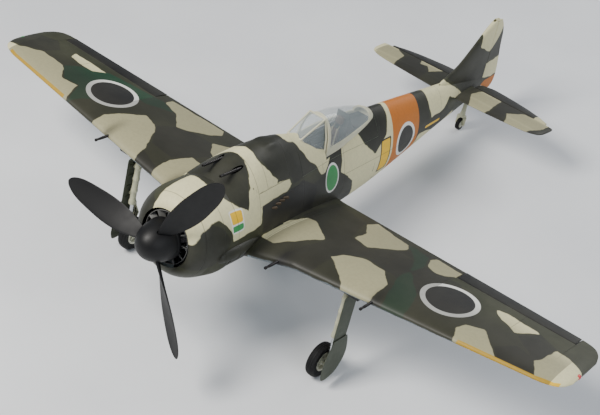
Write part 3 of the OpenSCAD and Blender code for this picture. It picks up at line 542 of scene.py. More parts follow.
# Distance out, leading edge, trailing edge, thickness
WING = [[30, 148, 417.7, 36], [70, 162, 413.3, 36.4], [134, 187.1, 406.3, 31], [314, 203.3, 386.5, 24],
        [520, 221.8, 363.8, 15.5], [544, 228, 357.2, 12], [556, 237.6, 343.2, 8], [562, 251.6, 325.2, 4]]
LIP = 0.6
STAB_Z, ELEV_Y, RUDDER_Y = 43, 862, 908


def wing_plane(x):
    return -37 + 0.0875 * np.abs(x)


def naca(t):
    return 5 * (0.2969 * np.sqrt(t) - 0.126 * t - 0.3516 * t**2 + 0.2843 * t**3 - 0.1036 * t**4)


def wing_row(x):
    """Leading edge, trailing edge and thickness at a station; straight inboard, rounded towards the tip."""
    read = curve if x > AIL_OUT else linear
    return [float(read(WING, x, c)) for c in (1, 2, 3)]


def wing_ring(x, steps=70):
    le, te, thick = wing_row(x)
    t = np.linspace(0, 1, steps)
    t = 0.5 * t**1.6 + 0.5 * (1 - np.cos(math.pi * t)) / 2
    t = t / t[-1]
    half = thick * naca(t) + LIP * t
    bend = 0.06 * thick * 4 * t * (1 - t)
    y, z = le + (te - le) * t, wing_plane(x) + bend
    lower = np.stack([np.full(steps, x), y, z - half], 1)[::-1]
    upper = np.stack([np.full(steps, x), y, z + half], 1)[1:]
    return np.concatenate([lower, upper])


def body_section(y, count=132):
    w, low, high, mid, ex = (float(curve(BODY, y, c)) for c in range(1, 6))
    a = whole_turn(count)
    up = np.sin(a) > 0
    e = np.where(up, 2 / ex, 2 / 2.2)
    x = w * power(np.cos(a), e)
    z = mid + np.where(up, high - mid, mid - low) * power(np.sin(a), e)
    return np.stack([x, np.full(count, y), z], 1)


def body_loft(name, first=BODY_FRONT, last=BODY_BACK):
    ys = np.linspace(first, last, max(3, round((last - first) / 5)))
    return loft(name, [body_section(y) for y in ys])


def section_shape(q):
    """Half thickness along a tail surface's chord, from its rounded nose back to its hinge."""
    return curve([[0, 0], [0.316, 0.6], [0.59, 0.98], [0.837, 1.1], [1, 1]], np.sqrt(q), 1)


def fin_loft(name):
    t = np.linspace(0, 1, 34) ** 1.4
    rings = []
    for z in np.linspace(50, FIN_TOP, 44):
        le, half = float(curve(FIN, z, 1)), float(curve(FIN, z, 2))
        y = le + (FIN_BACK - le) * t
        x = half * section_shape(t)
        right = np.stack([-x, y, np.full(len(t), z)], 1)[::-1]
        left = np.stack([x, y, np.full(len(t), z)], 1)[1:]
        rings.append(np.concatenate([right, left]))
    return loft(name, rings)


# ---------- painted areas ----------
# Outlines drawn level: wings and tailplane as (out, aft), fuselage and fin as (aft, up)
WING_CREAM = {
    1: [[(50, 190), (88, 196), (108, 228), (132, 265), (110, 285), (88, 302), (72, 300), (60, 250)],
        [(165, 235), (210, 200), (250, 158), (266, 158), (264, 240), (240, 268), (200, 272), (175, 255)],
        [(152, 312), (182, 303), (212, 340), (222, 360), (212, 378), (140, 400), (134, 376), (153, 345)],
        [(270, 342), (288, 332), (302, 338), (318, 358), (326, 372), (262, 382), (258, 366)],
        [(402, 199), (478, 204), (445, 232), (420, 258), (394, 246), (388, 232)],
        [(400, 322), (410, 308), (452, 284), (476, 315), (470, 319), (420, 327)],
        [(524, 211), (550, 212), (575, 230), (575, 262), (560, 282), (535, 293), (511, 297), (508, 260),
         (503, 248)]],
    -1: [[(372, 196), (480, 200), (570, 210), (570, 240), (535, 244), (500, 267), (450, 268), (420, 240),
          (390, 246)],
         [(308, 196), (196, 184), (202, 220), (225, 262), (240, 280), (268, 287), (290, 255), (306, 225)],
         [(290, 356), (255, 345), (222, 310), (205, 320), (180, 355), (174, 378), (186, 395), (294, 380)],
         [(158, 192), (152, 172), (60, 158), (60, 262), (142, 265), (158, 228)],
         [(126, 297), (142, 308), (160, 335), (124, 378), (60, 380), (60, 300)],
         [(476, 320), (468, 303), (440, 298), (415, 302), (400, 326)]]}
WING_GREEN = {
    1: [[(287, 180), (322, 180), (316, 230), (308, 252), (290, 272), (268, 300), (268, 335), (256, 372),
         (225, 384), (214, 376), (246, 340), (262, 300), (262, 265), (275, 225)]],
    -1: [[(450, 268), (420, 240), (390, 247), (372, 205), (360, 222), (345, 240), (340, 320), (300, 314),
          (256, 346), (292, 358), (345, 345), (400, 331), (414, 312), (440, 290)]]}
WING_DARK = {
    1: [[(100, 150), (160, 160), (170, 235), (200, 275), (262, 265), (330, 250), (400, 265), (330, 340),
         (262, 335), (215, 340), (182, 300), (150, 312), (130, 380), (60, 400), (60, 300), (132, 265)],
        [(455, 282), (500, 248), (512, 258), (512, 300), (476, 318)],
        [(480, 200), (524, 208), (505, 250), (470, 262), (445, 234)],
        [(215, 340), (225, 362), (214, 378), (256, 382), (262, 340)]],
    -1: [[(560, 240), (530, 250), (500, 268), (492, 300), (520, 322), (562, 300)],
         [(228, 262), (205, 235), (158, 232), (142, 262), (126, 297), (160, 335), (190, 330), (222, 310),
          (240, 282)],
         [(205, 184), (158, 178), (158, 200), (200, 215)]]}
YELLOW_STRIP = {1: (402, 552), -1: (385, 535)}
ROUNDEL_X, ROUNDEL_Y, ROUNDEL_R, ROUNDEL_DISC = 345, 283, 45, 37
BODY_CREAM = [
    [(40, 120), (40, 4), (52, 14), (64, 34), (77, 43), (92, 44), (104, 36), (114, 22), (116, 8), (186, 10),
     (186, 39), (252, 39), (266, 46),
     (262, 58), (182, 58), (166, 72), (153, 42), (142, 50), (124, 60), (106, 82), (78, 98), (66, 120)],
    [(182, 57), (168, 72), (182, 96), (184, 130), (206, 130), (202, 96), (222, 72), (240, 57)],
    [(188, -8), (284, -24), (300, -42), (335, -62), (250, -66), (215, -44)],
    [(268, 130), (276, 100), (300, 90), (322, 62), (340, 50), (352, 32), (364, 30), (388, 56), (420, 62),
     (420, 130)],
    [(416, 56), (466, 66), (482, 45), (514, 20), (514, -12), (532, -44), (568, -90), (470, -58), (448, -8),
     (410, 20)],
    [(512, 22), (548, 45), (556, 70), (558, 130), (576, 130), (574, -20), (560, -44), (532, -44), (514, -12)],
    [(688, 130), (690, 72), (692, 48), (700, 30), (745, 34), (768, 52), (790, 42), (832, 30), (800, 58),
     (764, 76),
     (740, 130)],
    [(660, 12), (700, 8), (740, -8), (760, 8), (790, 20), (800, 5), (740, -40), (640, -60)],
    [(858, 124), (862, 150), (872, 190), (960, 190), (932, 137), (918, 118), (904, 106), (882, 112)],
    [(905, 80), (990, 88), (990, 42), (930, 44), (905, 50)]]
BODY_DARK = [
    [(36, 46), (66, 48), (96, 38), (112, 14), (104, -10), (70, -30), (36, -30)],
    [(100, -90), (112, 0), (190, -6), (210, -42), (240, -90)],
    [(78, 130), (78, 96), (106, 82), (124, 60), (153, 40), (167, 72), (184, 98), (184, 130)],
    [(202, 130), (202, 96), (224, 70), (240, 57), (264, 56), (270, 44), (345, 44), (322, 64), (300, 92),
     (274, 130)],
    [(352, 30), (388, 56), (418, 58), (412, 22), (446, -6), (472, -56), (300, -76), (280, 20)],
    [(466, 66), (482, 45), (514, 20), (548, 45), (560, 90), (500, 130), (470, 90)],
    [(652, 130), (690, 130), (692, 50), (700, 20), (690, 5), (660, 10), (640, -20), (600, -60), (652, -60)],
    [(700, 30), (735, 55), (748, 52), (768, 30), (800, 12), (760, -20), (700, 0)],
    [(830, 30), (800, 60), (770, 80), (840, 140), (905, 104), (905, 60), (905, 10)],
    [(905, 84), (990, 90), (960, 150), (932, 136), (905, 104)]]
SOOT_PANEL = [(186, 38), (252, 39), (300, 42), (340, 20), (330, -26), (192, -8)]
ORANGE_BAND = (568, 656, -34, 130)
RUDDER_ORANGE = [(905, 10), (905, 30), (922, 40), (990, 42), (990, 10)]
OVAL = (384, 17, 17, 21)
BADGE = (114, 142, 20, 50)
BLOCK_MARK = (530, 562, -22, 38)
BAR_MARK = (680, 740, 13, 23)
REAR_ROUNDEL = (613, 16, 31, 25)
STAB_CREAM = {1: [[(30, 824), (54, 776), (80, 776), (86, 802), (80, 857), (36, 858)],
                  [(110, 822), (130, 776), (152, 776), (180, 828), (184, 880), (148, 880), (148, 856),
                   (132, 854)]],
              -1: [[(195, 850), (195, 800), (124, 790), (131, 840), (150, 853), (182, 885), (195, 885)],
                   [(103, 858), (97, 838), (82, 845), (66, 824), (51, 858)]]}
STAB_DARK = {1: [[(84, 776), (130, 776), (110, 822), (132, 856), (80, 858), (88, 802)],
                 [(152, 776), (200, 776), (200, 880), (184, 880), (180, 828)]],
             -1: [[(60, 776), (120, 776), (130, 850), (104, 858), (66, 822)]]}


def paint(piece, fields):
    """Writes each distance field as a vertex attribute; the ones not given stay unpainted."""
    for name in [layer[0] for layer in LAYERS] + ["soot", "across", "along"]:
        values = fields.get(name, np.full(len(piece.data.vertices), FAR))
        attribute = piece.data.attributes.new(name, "FLOAT", "POINT")
        attribute.data.foreach_set("value", np.ascontiguousarray(values, np.float32))


def by_side(x, y, tables):
    """Distance into the areas drawn for the left side or the right one."""
    return np.where(x > 0, any_of(abs(x), y, tables[1]), any_of(abs(x), y, tables[-1]))


def level_points(piece):
    flat = np.zeros(len(piece.data.vertices) * 3)
    piece.data.vertices.foreach_get("co", flat)
    return to_level(flat.reshape(-1, 3))


def disc_fields(fields, distance, outer, inner):
    fields["white"] = np.maximum(fields.get("white", FAR), outer - distance)
    fields["black"] = np.maximum(fields.get("black", FAR), inner - distance)


def wing_fields(p):
    """Painted areas of a wing panel, its aileron and its root."""
    x, y, z = p.T
    out = np.abs(x)
    below = wing_plane(x) - 0.4 - z
    le, te = linear(WING, out, 1), linear(WING, out, 2)
    first, last = (np.where(x > 0, YELLOW_STRIP[1][k], YELLOW_STRIP[-1][k]) for k in (0, 1))
    strip = np.minimum(np.minimum(out - first, last - out), le + 3.6 - y)
    fields = {"cream": by_side(x, y, WING_CREAM), "green": by_side(x, y, WING_GREEN),
              "dark": by_side(x, y, WING_DARK),
              "yellow": strip, "under": np.where(strip > 0, FAR, below)}
    away = np.where(below > 0, 999.0, np.hypot(out - ROUNDEL_X, y - ROUNDEL_Y))
    disc_fields(fields, away, ROUNDEL_R, ROUNDEL_DISC)
    # soot behind the two gun muzzles
    soot = np.zeros(len(x))
    for gun, spread, reach in ((WING_GUNS[0], 9, 62), (WING_GUNS[1], 8, 78)):
        behind = np.clip((y - 160) / 10, 0, 1) * np.clip(1 - (y - 175) / reach, 0, 1)
        lane = np.exp(-((out - gun - 4) / spread) ** 2)
        soot = np.maximum(soot, behind * lane)
    fields.update(soot=np.where(below > 4, 0, soot), across=out, along=(y - le) / (te - le))
    return fields


def body_fields(p):
    """Painted areas of the fuselage, cowl, hatch, fin and rudder."""
    x, y, z = p.T
    # the camouflage of the right side sits a little further aft, low down
    at = y - np.where(x < 0, 10 * np.clip(1 - z / 80, 0, 1), 0)
    cream = any_of(at, z, BODY_CREAM)
    fields = {"cream": np.where(y < BODY_FRONT, np.minimum(cream, x + 30), cream),
              "dark": any_of(at, z, BODY_DARK),
              "orange": np.maximum(box_inside(y, z, *ORANGE_BAND), inside(y, z, RUDDER_ORANGE)),
              "night": inside(at, z, SOOT_PANEL), "under": np.where(y < 700, -62 - z, FAR)}
    # the oval and the badge are on the left only, the other marks on both sides
    left, both = np.where(x > 4, 0.0, FAR), np.where(np.abs(x) > 4, 0.0, FAR)
    oval = 19 * (1 - np.hypot((y - OVAL[0]) / OVAL[2], (z - OVAL[1]) / OVAL[3])) + left
    first, last, foot, top = BADGE
    badge = box_inside(y, z, *BADGE) + left
    lower = box_inside(y, z, first + 2, last - 2, foot + 2, foot + 11) + left
    upper = box_inside(y, z, first + 2, last - 2, foot + 12.5, top - 2) + left
    block_mark, bar_mark = box_inside(y, z, *BLOCK_MARK), box_inside(y, z, *BAR_MARK)
    fields.update(white=np.maximum(oval + 3.2, badge), leaf=np.maximum(oval, lower),
                  black=np.maximum(block_mark, bar_mark) + both,
                  amber=np.maximum(np.maximum(block_mark - 2.6, bar_mark - 2.2), upper) + both)
    away = np.hypot(y - REAR_ROUNDEL[0], z - REAR_ROUNDEL[1])
    disc_fields(fields, away - both, REAR_ROUNDEL[2], REAR_ROUNDEL[3])
    # exhaust soot, and a little behind the cowl guns
    trail = np.clip((y - 190) / 30, 0, 1) * np.clip(1 - (y - 230) / 190, 0, 1) * np.exp(-((z - 18) / 17) ** 2)
    guns = np.clip((y - 126) / 12, 0, 1) * np.clip(1 - (y - 140) / 55, 0, 1)
    guns = guns * np.exp(-((np.abs(x) - GUN_X) / 6) ** 2) * (z > 60)
    on_fin = (z > 74) & (y > 745)
    fields.update(soot=np.maximum(trail * 0.9, guns * 0.7), across=np.where(on_fin, z, y),
                  along=np.where(on_fin, y, z))
    return fields


def fuselage_fields(p):
    """Body areas, with the wing's own on the roots that stand out of the fuselage's sides."""
    fields = body_fields(p)
    x, y, z = p.T
    w = curve(BODY, np.clip(y, BODY_FRONT, BODY_BACK), 1)
    root = (np.abs(x) > w + 0.6) & (y > 130) & (y < 430) & (z < -4)
    over = wing_fields(p)
    for name in list(fields) + ["yellow"]:
        fields[name] = np.where(root, over.get(name, FAR), fields.get(name, FAR))
    return fields


def stab_fields(p, night=False):
    x, y, z = p.T
    out = np.abs(x)
    fields = {"cream": by_side(x, y, STAB_CREAM), "dark": by_side(x, y, STAB_DARK), "under": STAB_Z - 1.2 - z,
              "soot": np.zeros(len(x)), "across": out, "along": (y - 786) / 76}
    if night:
        fields["night"] = np.full(len(x), DEEP)
        fields["cream"] = np.where(x > 0, box_inside(out, y, 148, 182, 800, 900), FAR)
    return fields


# ---------- airframe pieces ----------
AXLE_Y, SPAR_Y = 224, 276
# Wheel wells: inner end, outer end, half width, top, and how far back the roof slopes up from its front edge
WELL_FLOOR = -90
WELL_STEPS = ((33, 106, 31, -13.5, 13), (105, 196, 25, -13.5, 13), (195, 246, 25.1, -11.5, 6))
HATCH_Y, HATCH_Z, GAP = (298, 522), 46, 0.4
BAY_HALF = 29
GUN_X, GUN_Z, WING_GUNS = 17, 87, (112, 267)


def well_tools(*sides):
    """Wheel well, leg channel and retract pocket on each side asked for."""
    tools = []
    for s in sides:
        for low, high, half, top, run in WELL_STEPS:
            front, back, floor = AXLE_Y - half, AXLE_Y + half, WELL_FLOOR - len(tools)
            outline = [(front, floor), (back, floor), (back, top), (front + run, top), (front, top - 5)]
            tools.append(prism("well_tool", outline, s * low, s * high, "yz"))
    return coated(tools, M["well"])


def root_loft(s):
    """Wing root moulded with the fuselage, with a fillet that swells into the body."""
    rings = []
    for x in np.linspace(30, 70, 12):
        ring = wing_ring(x, 56)
        swell = 5.0 * ((70 - x) / 40) ** 2
        upper = np.arange(len(ring)) >= 56
        ring[:, 2] += np.where(upper, swell, -swell * 0.5)
        ring[:, 0] *= s
        rings.append(ring)
    return loft("root_tool", rings)


def make_fuselage():
    piece, = coated([body_loft("fuselage_shell")], M["body"])
    x, y, z = level_points(piece).T
    # two bumps on the deck over the guns' breeches
    for cx in (-12, 12):
        z += np.where(z > 60, 3.2 * np.exp(-((x - cx) / 5) ** 2 - ((y - 242) / 13) ** 2), 0)
    move_points(piece, np.stack([x, y, z], 1))
    lugs = []
    for z0, z1, r in ((9, 15, 3), (167, 170, 2.6)):
        lugs.append(block("lug_tool", (-r, 880, z0), (r, RUDDER_Y, z1)))
        lugs.append(solid_lathe("lug_tool", [(r, 0), (r, z1 - z0)], (0, RUDDER_Y, z0), (0, 0, 1)))
    carve(piece, [fin_loft("fin_tool"), root_loft(1), root_loft(-1)] + lugs, "UNION")
    bay = [block("bay_tool", (-80, HATCH_Y[0], HATCH_Z), (80, HATCH_Y[1], 140)),
           block("bay_tool", (-BAY_HALF, 140, -52), (BAY_HALF, 500, 47))]
    troughs = [solid_lathe("trough_tool", [(4.2, 0), (4.2, 58)], (s * GUN_X, 120, GUN_Z), steps=28)
               for s in (-1, 1)]
    carve(piece, coated(bay, M["bay"]) + well_tools(-1, 1) + coated(troughs, M["matt_black"]))
    paint(piece, fuselage_fields(level_points(piece)))
    return finish(piece, "airframe", M["body"], "foam_paint", "fuselage")


# Distance aft, half width, sill height, top
HOOD = [[373, 31, 50, 113], [410, 31, 56, 112], [450, 27, 63, 105], [490, 21, 70, 96], [516, 15, 75, 87]]
WINDSCREEN = [(13.5, 319, 90), (16, 372, 113), (31, 372, 50), (27, 345, 62), (14, 319, 84)]


def windscreen_tool():
    """The windscreen's outer form, as one convex solid."""
    points = [(s * x, y, z) for x, y, z in WINDSCREEN for s in (-1, 1)]
    bm = bmesh.new()
    for p in to_row(points):
        bm.verts.new(p)
    bmesh.ops.convex_hull(bm, input=bm.verts)
    mesh = bpy.data.meshes.new("screen_tool")
    bm.to_mesh(mesh)
    bm.free()
    tool = bpy.data.objects.new("screen_tool", mesh)
    bpy.context.scene.collection.objects.link(tool)
    return tool


def make_hatch():
    piece, = coated([body_loft("hatch_cover", HATCH_Y[0] + GAP, HATCH_Y[1] - GAP)], M["body"])
    lower = coated([block("hatch_tool", (-90, 200, -100), (90, 600, HATCH_Z + GAP))], M["bay"])
    sill, tub = coated([prism("sill_tool", [(371, 48.8), (518, 73.8), (518, 150), (371, 150)], -60, 60, "yz"),
                        block("tub_tool", (-21, 346, 0), (21, 476, 120))], M["cockpit"])
    carve(piece, lower + [sill, windscreen_tool(), tub])
    paint(piece, body_fields(level_points(piece)))
    return finish(piece, "hatch", M["body"], "foam_paint", "hatch_deck")


COWL_R, INTAKE_R, COWL_FRONT, COWL_BACK = 72, 43, 50, 127.9


def make_cowl():
    a = np.radians(np.linspace(0, 90, 30))
    outer = np.stack([INTAKE_R + 2 + (COWL_R - INTAKE_R - 2) * np.sin(a), COWL_FRONT + 48 * (1 - np.cos(a))],
                     1)
    back = [(COWL_R, y) for y in np.linspace(102, COWL_BACK, 8)]
    inner_back = [(COWL_R - 2.5, y) for y in np.linspace(COWL_BACK, 104, 6)]
    b = a[::-3]
    inner = np.stack([INTAKE_R + (COWL_R - INTAKE_R - 2.5) * np.sin(b),
                      COWL_FRONT + 1 + 49 * (1 - np.cos(b))], 1)
    profile = np.concatenate([outer, back, inner_back, inner])
    piece = lathe("cowl_shell", profile, steps=176)
    x, y, z = level_points(piece).T
    radius = np.hypot(x, z)
    # blisters over the guns and low on the sides
    for side in (-1, 1):
        for cx, cz, cy, wide, long, high in ((side * 18, 70, 122, 10, 26, 3.0),
                                             (side * 62, -36, 104, 14, 30, 4.5)):
            lift = high * np.exp(-((x - cx) ** 2 + (z - cz) ** 2) / wide**2 - ((y - cy) / long) ** 2)
            lift *= np.clip((127 - y) / 8, 0, 1)
            for k, c in enumerate((x, z)):
                c += np.where(radius > COWL_R - 2.4, lift * c / radius, 0)
    move_points(piece, np.stack([x, y, z], 1))
    paint(piece, body_fields(np.stack([x, y, z], 1)))
    return finish(piece, "airframe", M["body"], "cowl_paint", "cowl")


def ail_chord(x):
    return mix(27, 21, (x - AIL_IN) / (AIL_OUT - AIL_IN))


def ail_row(x):
    """Hinge point and radius there, from the wing's section."""
    le, te, thick = (float(linear(WING, x, c)) for c in (1, 2, 3))
    t = 1 - ail_chord(x) / (te - le)
    bend = 0.06 * thick * 4 * t * (1 - t)
    return np.array([x, te - ail_chord(x), wing_plane(x) + bend]), thick * naca(t) + LIP * t - 0.1, te


def surface_ring(hinge, radius, te, nose=16, run=12):
    """Rounded nose about a hinge, then straight sides to a thin trailing edge."""
    a = np.radians(np.linspace(270, 90, nose))
    front = np.stack([np.full(nose, hinge[0]), hinge[1] + radius * np.cos(a), hinge[2] + radius * np.sin(a)],
                     1)
    t = np.linspace(0, 1, run + 1)[1:]
    swell = 0.5 * np.sin(math.pi * t)
    half = radius + (LIP - radius) * t + swell
    y = hinge[1] + (te - hinge[1]) * t
    top = np.stack([np.full(run, hinge[0]), y, hinge[2] + half], 1)
    low = np.stack([np.full(run, hinge[0]), y, hinge[2] - half], 1)[::-1]
    return np.concatenate([front, top, low])


def make_wing(side):
    name = NAMES[side]
    xs = np.concatenate([np.arange(70.2, 520, 4), np.linspace(520, SEMI_SPAN, 24)])
    piece, = coated([loft("wing_panel_" + name, [wing_ring(x) * (side, 1, 1) for x in xs])], M["body"])
    (ax, ay, _), ar, _ = ail_row(AIL_IN - END_GAP)
    (bx, by, _), br, _ = ail_row(AIL_OUT + END_GAP)
    outline = [(side * ax, ay - ar - 0.8), (side * bx, by - br - 0.8), (side * bx, 460), (side * ax, 460)]
    slot = coated([prism("slot_tool", outline, -60, 60)], M["body"])
    # pockets under the servo and its arm: from, to, front, back, height over the servo's middle
    pockets = []
    for x0, x1, y0, y1, up in ((342, 362, 283, 306, 6), (361, 369, 287, 313, 5)):
        a, b = sorted((side * x0, side * x1))
        pockets.append(block("pocket_tool", (a, y0, -60), (b, y1, float(wing_plane(352)) + up)))
    carve(piece, slot + well_tools(side) + coated(pockets, M["well"]))
    paint(piece, wing_fields(level_points(piece)))
    return finish(piece, "airframe", M["wing"], "foam_paint", "wing_" + name)


def make_aileron(side):
    name = NAMES[side]
    rings = []
    for x in np.linspace(AIL_IN, AIL_OUT, 60):
        hinge, radius, te = ail_row(x)
        rings.append(surface_ring(hinge, radius, te) * (side, 1, 1))
    blade = loft("aileron_tool", rings)
    horn_x = 364
    hinge = ail_row(horn_x)[0]
    outline = [(hinge[1] + u, hinge[2] + v) for u,
               v in ((-1.5, -2), (-3, -12), (-1.5, -14), (1.5, -14), (3, -12),
                                                         (9, -1.5))]
    low, high = sorted((side * (horn_x - 1.6), side * horn_x))
    horn = prism("horn_tool", outline, low, high, "yz")
    pins = []
    for at, way in ((AIL_IN, -1), (AIL_OUT, 1)):
        a, b = ail_row(at)[0], ail_row(at - way * 20)[0]
        out = (a - b) / np.linalg.norm(a - b)
        pins.append(tube("pin_tool", [(a - 3 * out) * (side, 1, 1), (a + 6.8 * out) * (side, 1, 1)], 1.2))
    piece = join("aileron_surface_" + name, [blade, horn] + pins)
    fields = wing_fields(level_points(piece))
    for name_off in ("cream", "green", "yellow"):
        del fields[name_off]
    fields["night"] = np.where(fields["under"] > 0, FAR, DEEP)
    paint(piece, fields)
    return finish(piece, "aileron_" + name, M["surface"], "foam_paint", "aileron_" + name)


# Distance out, leading edge, half thickness
STAB = [[0, 786, 5], [30, 788, 5], [110, 794, 4.2], [160, 800, 3.6], [181, 809, 3], [188, 820, 2.2],
        [190, 834, 1.4]]


def make_stabiliser():
    t = np.linspace(0, 1, 26) ** 1.3
    rings = []
    xs = np.concatenate([np.linspace(0, 160, 42), np.linspace(163, 190, 18)])
    for x in np.concatenate([-xs[:0:-1], xs]):
        out = abs(x)
        le, half = float(curve(STAB, out, 1)), float(curve(STAB, out, 2))
        back = ELEV_Y - 6
        y, h = le + (back - le) * t, half * section_shape(t)
        top = np.stack([np.full(len(t), x), y, STAB_Z + h], 1)[::-1]
        low = np.stack([np.full(len(t), x), y, STAB_Z - h], 1)[1:]
        rings.append(np.concatenate([top, low]))
    piece = loft("stabiliser_panel", rings)
    paint(piece, stab_fields(level_points(piece)))
    return finish(piece, "airframe", M["tail"], "foam_paint", "stabiliser")


def make_elevators():
    rows = [[19, 890, 4.9], [45, 896, 4.6], [110, 888, 4], [150, 878, 3.6], [172, 868, 3.2]]
    parts = []
    for side in (-1, 1):
        rings = [surface_ring((x, ELEV_Y, STAB_Z), float(linear(rows, x, 2)),
                              float(curve(rows, x, 1))) * (side, 1, 1)
                 for x in np.linspace(19, 172, 50)]
        parts.append(loft("elevator_tool", rings))
    parts.append(tube("joiner_tool", [(-39, ELEV_Y, STAB_Z), (39, ELEV_Y, STAB_Z)], 1.5))
    piece = join("elevator_surfaces", parts)
    paint(piece, stab_fields(level_points(piece), True))
    return finish(piece, "elevator", M["tail"], "foam_paint", "elevators")


def make_rudder():
    rows = [[16, 958, 3.2], [24, 965, 3.8], [40, 968, 4.4], [72, 961, 4.6], [109, 950, 4.4], [135, 944, 4],
            [155, 934, 3.4], [166, 924, 2.8]]
    rings = []
    for z in np.linspace(16, 166, 56):
        ring = surface_ring((0, RUDDER_Y, 0), float(curve(rows, z, 2)), float(curve(rows, z, 1)))
        rings.append(np.stack([-ring[:, 2], ring[:, 1], np.full(len(ring), z)], 1))
    parts = [loft("rudder_tool", rings)]
    for z0, z1 in ((9.5, 19), (162, 169.5)):
        parts.append(tube("pin_tool", [(0, RUDDER_Y, z0), (0, RUDDER_Y, z1)], 1.2))
    piece = join("rudder_surface", parts)
    paint(piece, body_fields(level_points(piece)))
    return finish(piece, "rudder", M["body"], "foam_paint", "rudder")


make_fuselage()
make_hatch()
make_cowl()
for side in (-1, 1):
    make_wing(side)
    make_aileron(side)
make_stabiliser()
make_elevators()
make_rudder()


# ---------- nose pieces ----------
SPINNER_R, SPINNER_LEN, PROP_Y, PROP_R, PROP_TURN = 32, 48, 27, 176, 57
# Distance out, chord, pitch in degrees, thickness
BLADE = [[9, 13, 58, 9], [24, 17, 52, 7], [40, 26, 44, 6], [65, 36, 35, 4.6], [95, 40, 27, 3.6],
         [125, 37, 22, 2.8],
         [150, 32, 19, 2.2], [176, 26, 16, 1.4]]
SHAFT_R, CYLINDERS, FAN_BLADES = 2.5, 9, 12


def about_thrust(points, turn=0.0, y=0.0):
    """Points drawn with Z running aft, turned about the thrust line, as level points."""
    u, v, h = np.moveaxis(np.asarray(points, float), -1, 0)
    c, s = math.cos(math.radians(turn)), math.sin(math.radians(turn))
    return np.stack([u * c - v * s, h + y, -(u * s + v * c)], -1)


def foil_ring(at, chord, pitch, thick, steps=18):
    """Cambered blade section, drawn at a distance out along the first axis."""
    t = (1 - np.cos(np.linspace(0, math.pi, steps))) / 2
    half, bend = thick * naca(t) * 0.95 + 0.12, 0.07 * chord * 4 * t * (1 - t) * 0.5
    u = np.concatenate([(t - 0.5) * chord, (t[-2:0:-1] - 0.5) * chord])
    v = np.concatenate([bend + half, bend[-2:0:-1] - half[-2:0:-1] * 0.7])
    c, s = math.cos(math.radians(pitch)), math.sin(math.radians(pitch))
    return np.stack([np.full(len(u), at), u * c - v * s, u * s + v * c], 1)


def blade_rings(grow=0.0, last=PROP_R):
    rings = []
    for r in np.concatenate([np.arange(9, 150, 3.5), np.linspace(150, 176, 16)]):
        if r > last:
            break
        chord, pitch, thick = (float(curve(BLADE, r, c)) for c in (1, 2, 3))
        if r > 140:
            chord *= math.sqrt(max(0.01, 1 - ((r - 140) / 36.2) ** 2.4))
        rings.append(foil_ring(r, chord + grow, pitch, thick + grow))
    return rings


def propeller_turned(rings, k):
    """Rings of a blade, turned to the place of blade k."""
    return [about_thrust(ring, -PROP_TURN - 120 * k, PROP_Y) for ring in rings]


def make_spinner():
    a = np.radians(np.linspace(1, 90, 44))
    outer = np.stack([SPINNER_R * np.sin(a) ** 0.9, SPINNER_LEN * (1 - np.cos(a))], 1)
    b = np.radians(np.linspace(85.9, 1, 30))
    inner = np.stack([(SPINNER_R - 2) * np.sin(b) ** 0.9, 2.5 + (SPINNER_LEN + 1) * (1 - np.cos(b))], 1)
    piece = solid_lathe("spinner_dome", np.concatenate([outer, inner]), steps=120)
    carve(piece, [loft("slot_tool", propeller_turned(blade_rings(3.0, 62), k)) for k in range(3)])
    lip = [(0.05, 43.6), (0.45, 44.4), (0.45, 47.4), (0.05, 47.9), (-0.6, 47.9), (-0.6, 43.6)]
    seam = lathe("spinner_seam", [(SPINNER_R + r, y) for r, y in lip], steps=120)
    finish(seam, "rotor", M["matt_black"], "black_plastic")
    return finish(piece, "rotor", M["matt_black"], "black_plastic", "spinner")


def make_propeller():
    blades = [loft("blade", propeller_turned(blade_rings(), k), 50) for k in range(3)]
    hub = lathe("prop_hub", [(SHAFT_R, -7), (11, -7), (12, -6), (12, 6), (11, 7), (SHAFT_R, 7)],
                (0, PROP_Y, 0),
                (0, 1, 0), 64)
    root = [(10, 0, 0), (13, 0, 0), (14, 0, 0), (19, 0, 0)]
    cuffs = [tube("cuff", propeller_turned(root, k), (5.6, 5.6, 5.0, 4.2), 28) for k in range(3)]
    piece = join("propeller_blades", blades + [hub] + cuffs, 50)
    return finish(piece, "rotor", M["blade"], "black_plastic", "propeller")


def make_fan():
    """Cooling fan behind the spinner: broad curved blades between a hub and a thin outer ring."""
    parts = [lathe("fan_hub", [(SHAFT_R, 50.2), (20, 50.2), (21.5, 51.5), (21.5, 59), (20, 60),
                               (SHAFT_R, 60)], steps=72)]
    for k in range(FAN_BLADES):
        rings = []
        for r in np.linspace(20.5, 40.6, 10):
            f = (r - 20.5) / 20.1
            rings.append(about_thrust(foil_ring(r, mix(8.4, 10.4, f), mix(62, 44, f), 1.9),
                                      360 * k / FAN_BLADES, 55))
        parts.append(loft("fan_blade", rings, 50))
    parts.append(lathe("fan_ring", [(40.2, 52.4), (41.1, 52.8), (41.1, 57.2), (40.2, 57.6)], steps=96))
    return finish(join("fan_rotor", parts, 50), "rotor", M["fan"], "black_plastic", "cooling_fan")


def fin_profile(first, last, root, tip, pitch=1.9, depth=1.7):
    """Profile of a finned barrel, from its foot to its head."""
    out = [(0.4, first)]
    for k, h in enumerate(np.arange(first, last - pitch / 2, pitch)):
        r = mix(root, tip, (h - first) / (last - first))
        out += [(r - depth, h), (r - depth, h + pitch * 0.45), (r, h + pitch * 0.55), (r, h + pitch * 0.95)]
    return out + [(tip - 1.0, last), (0.4, last)]


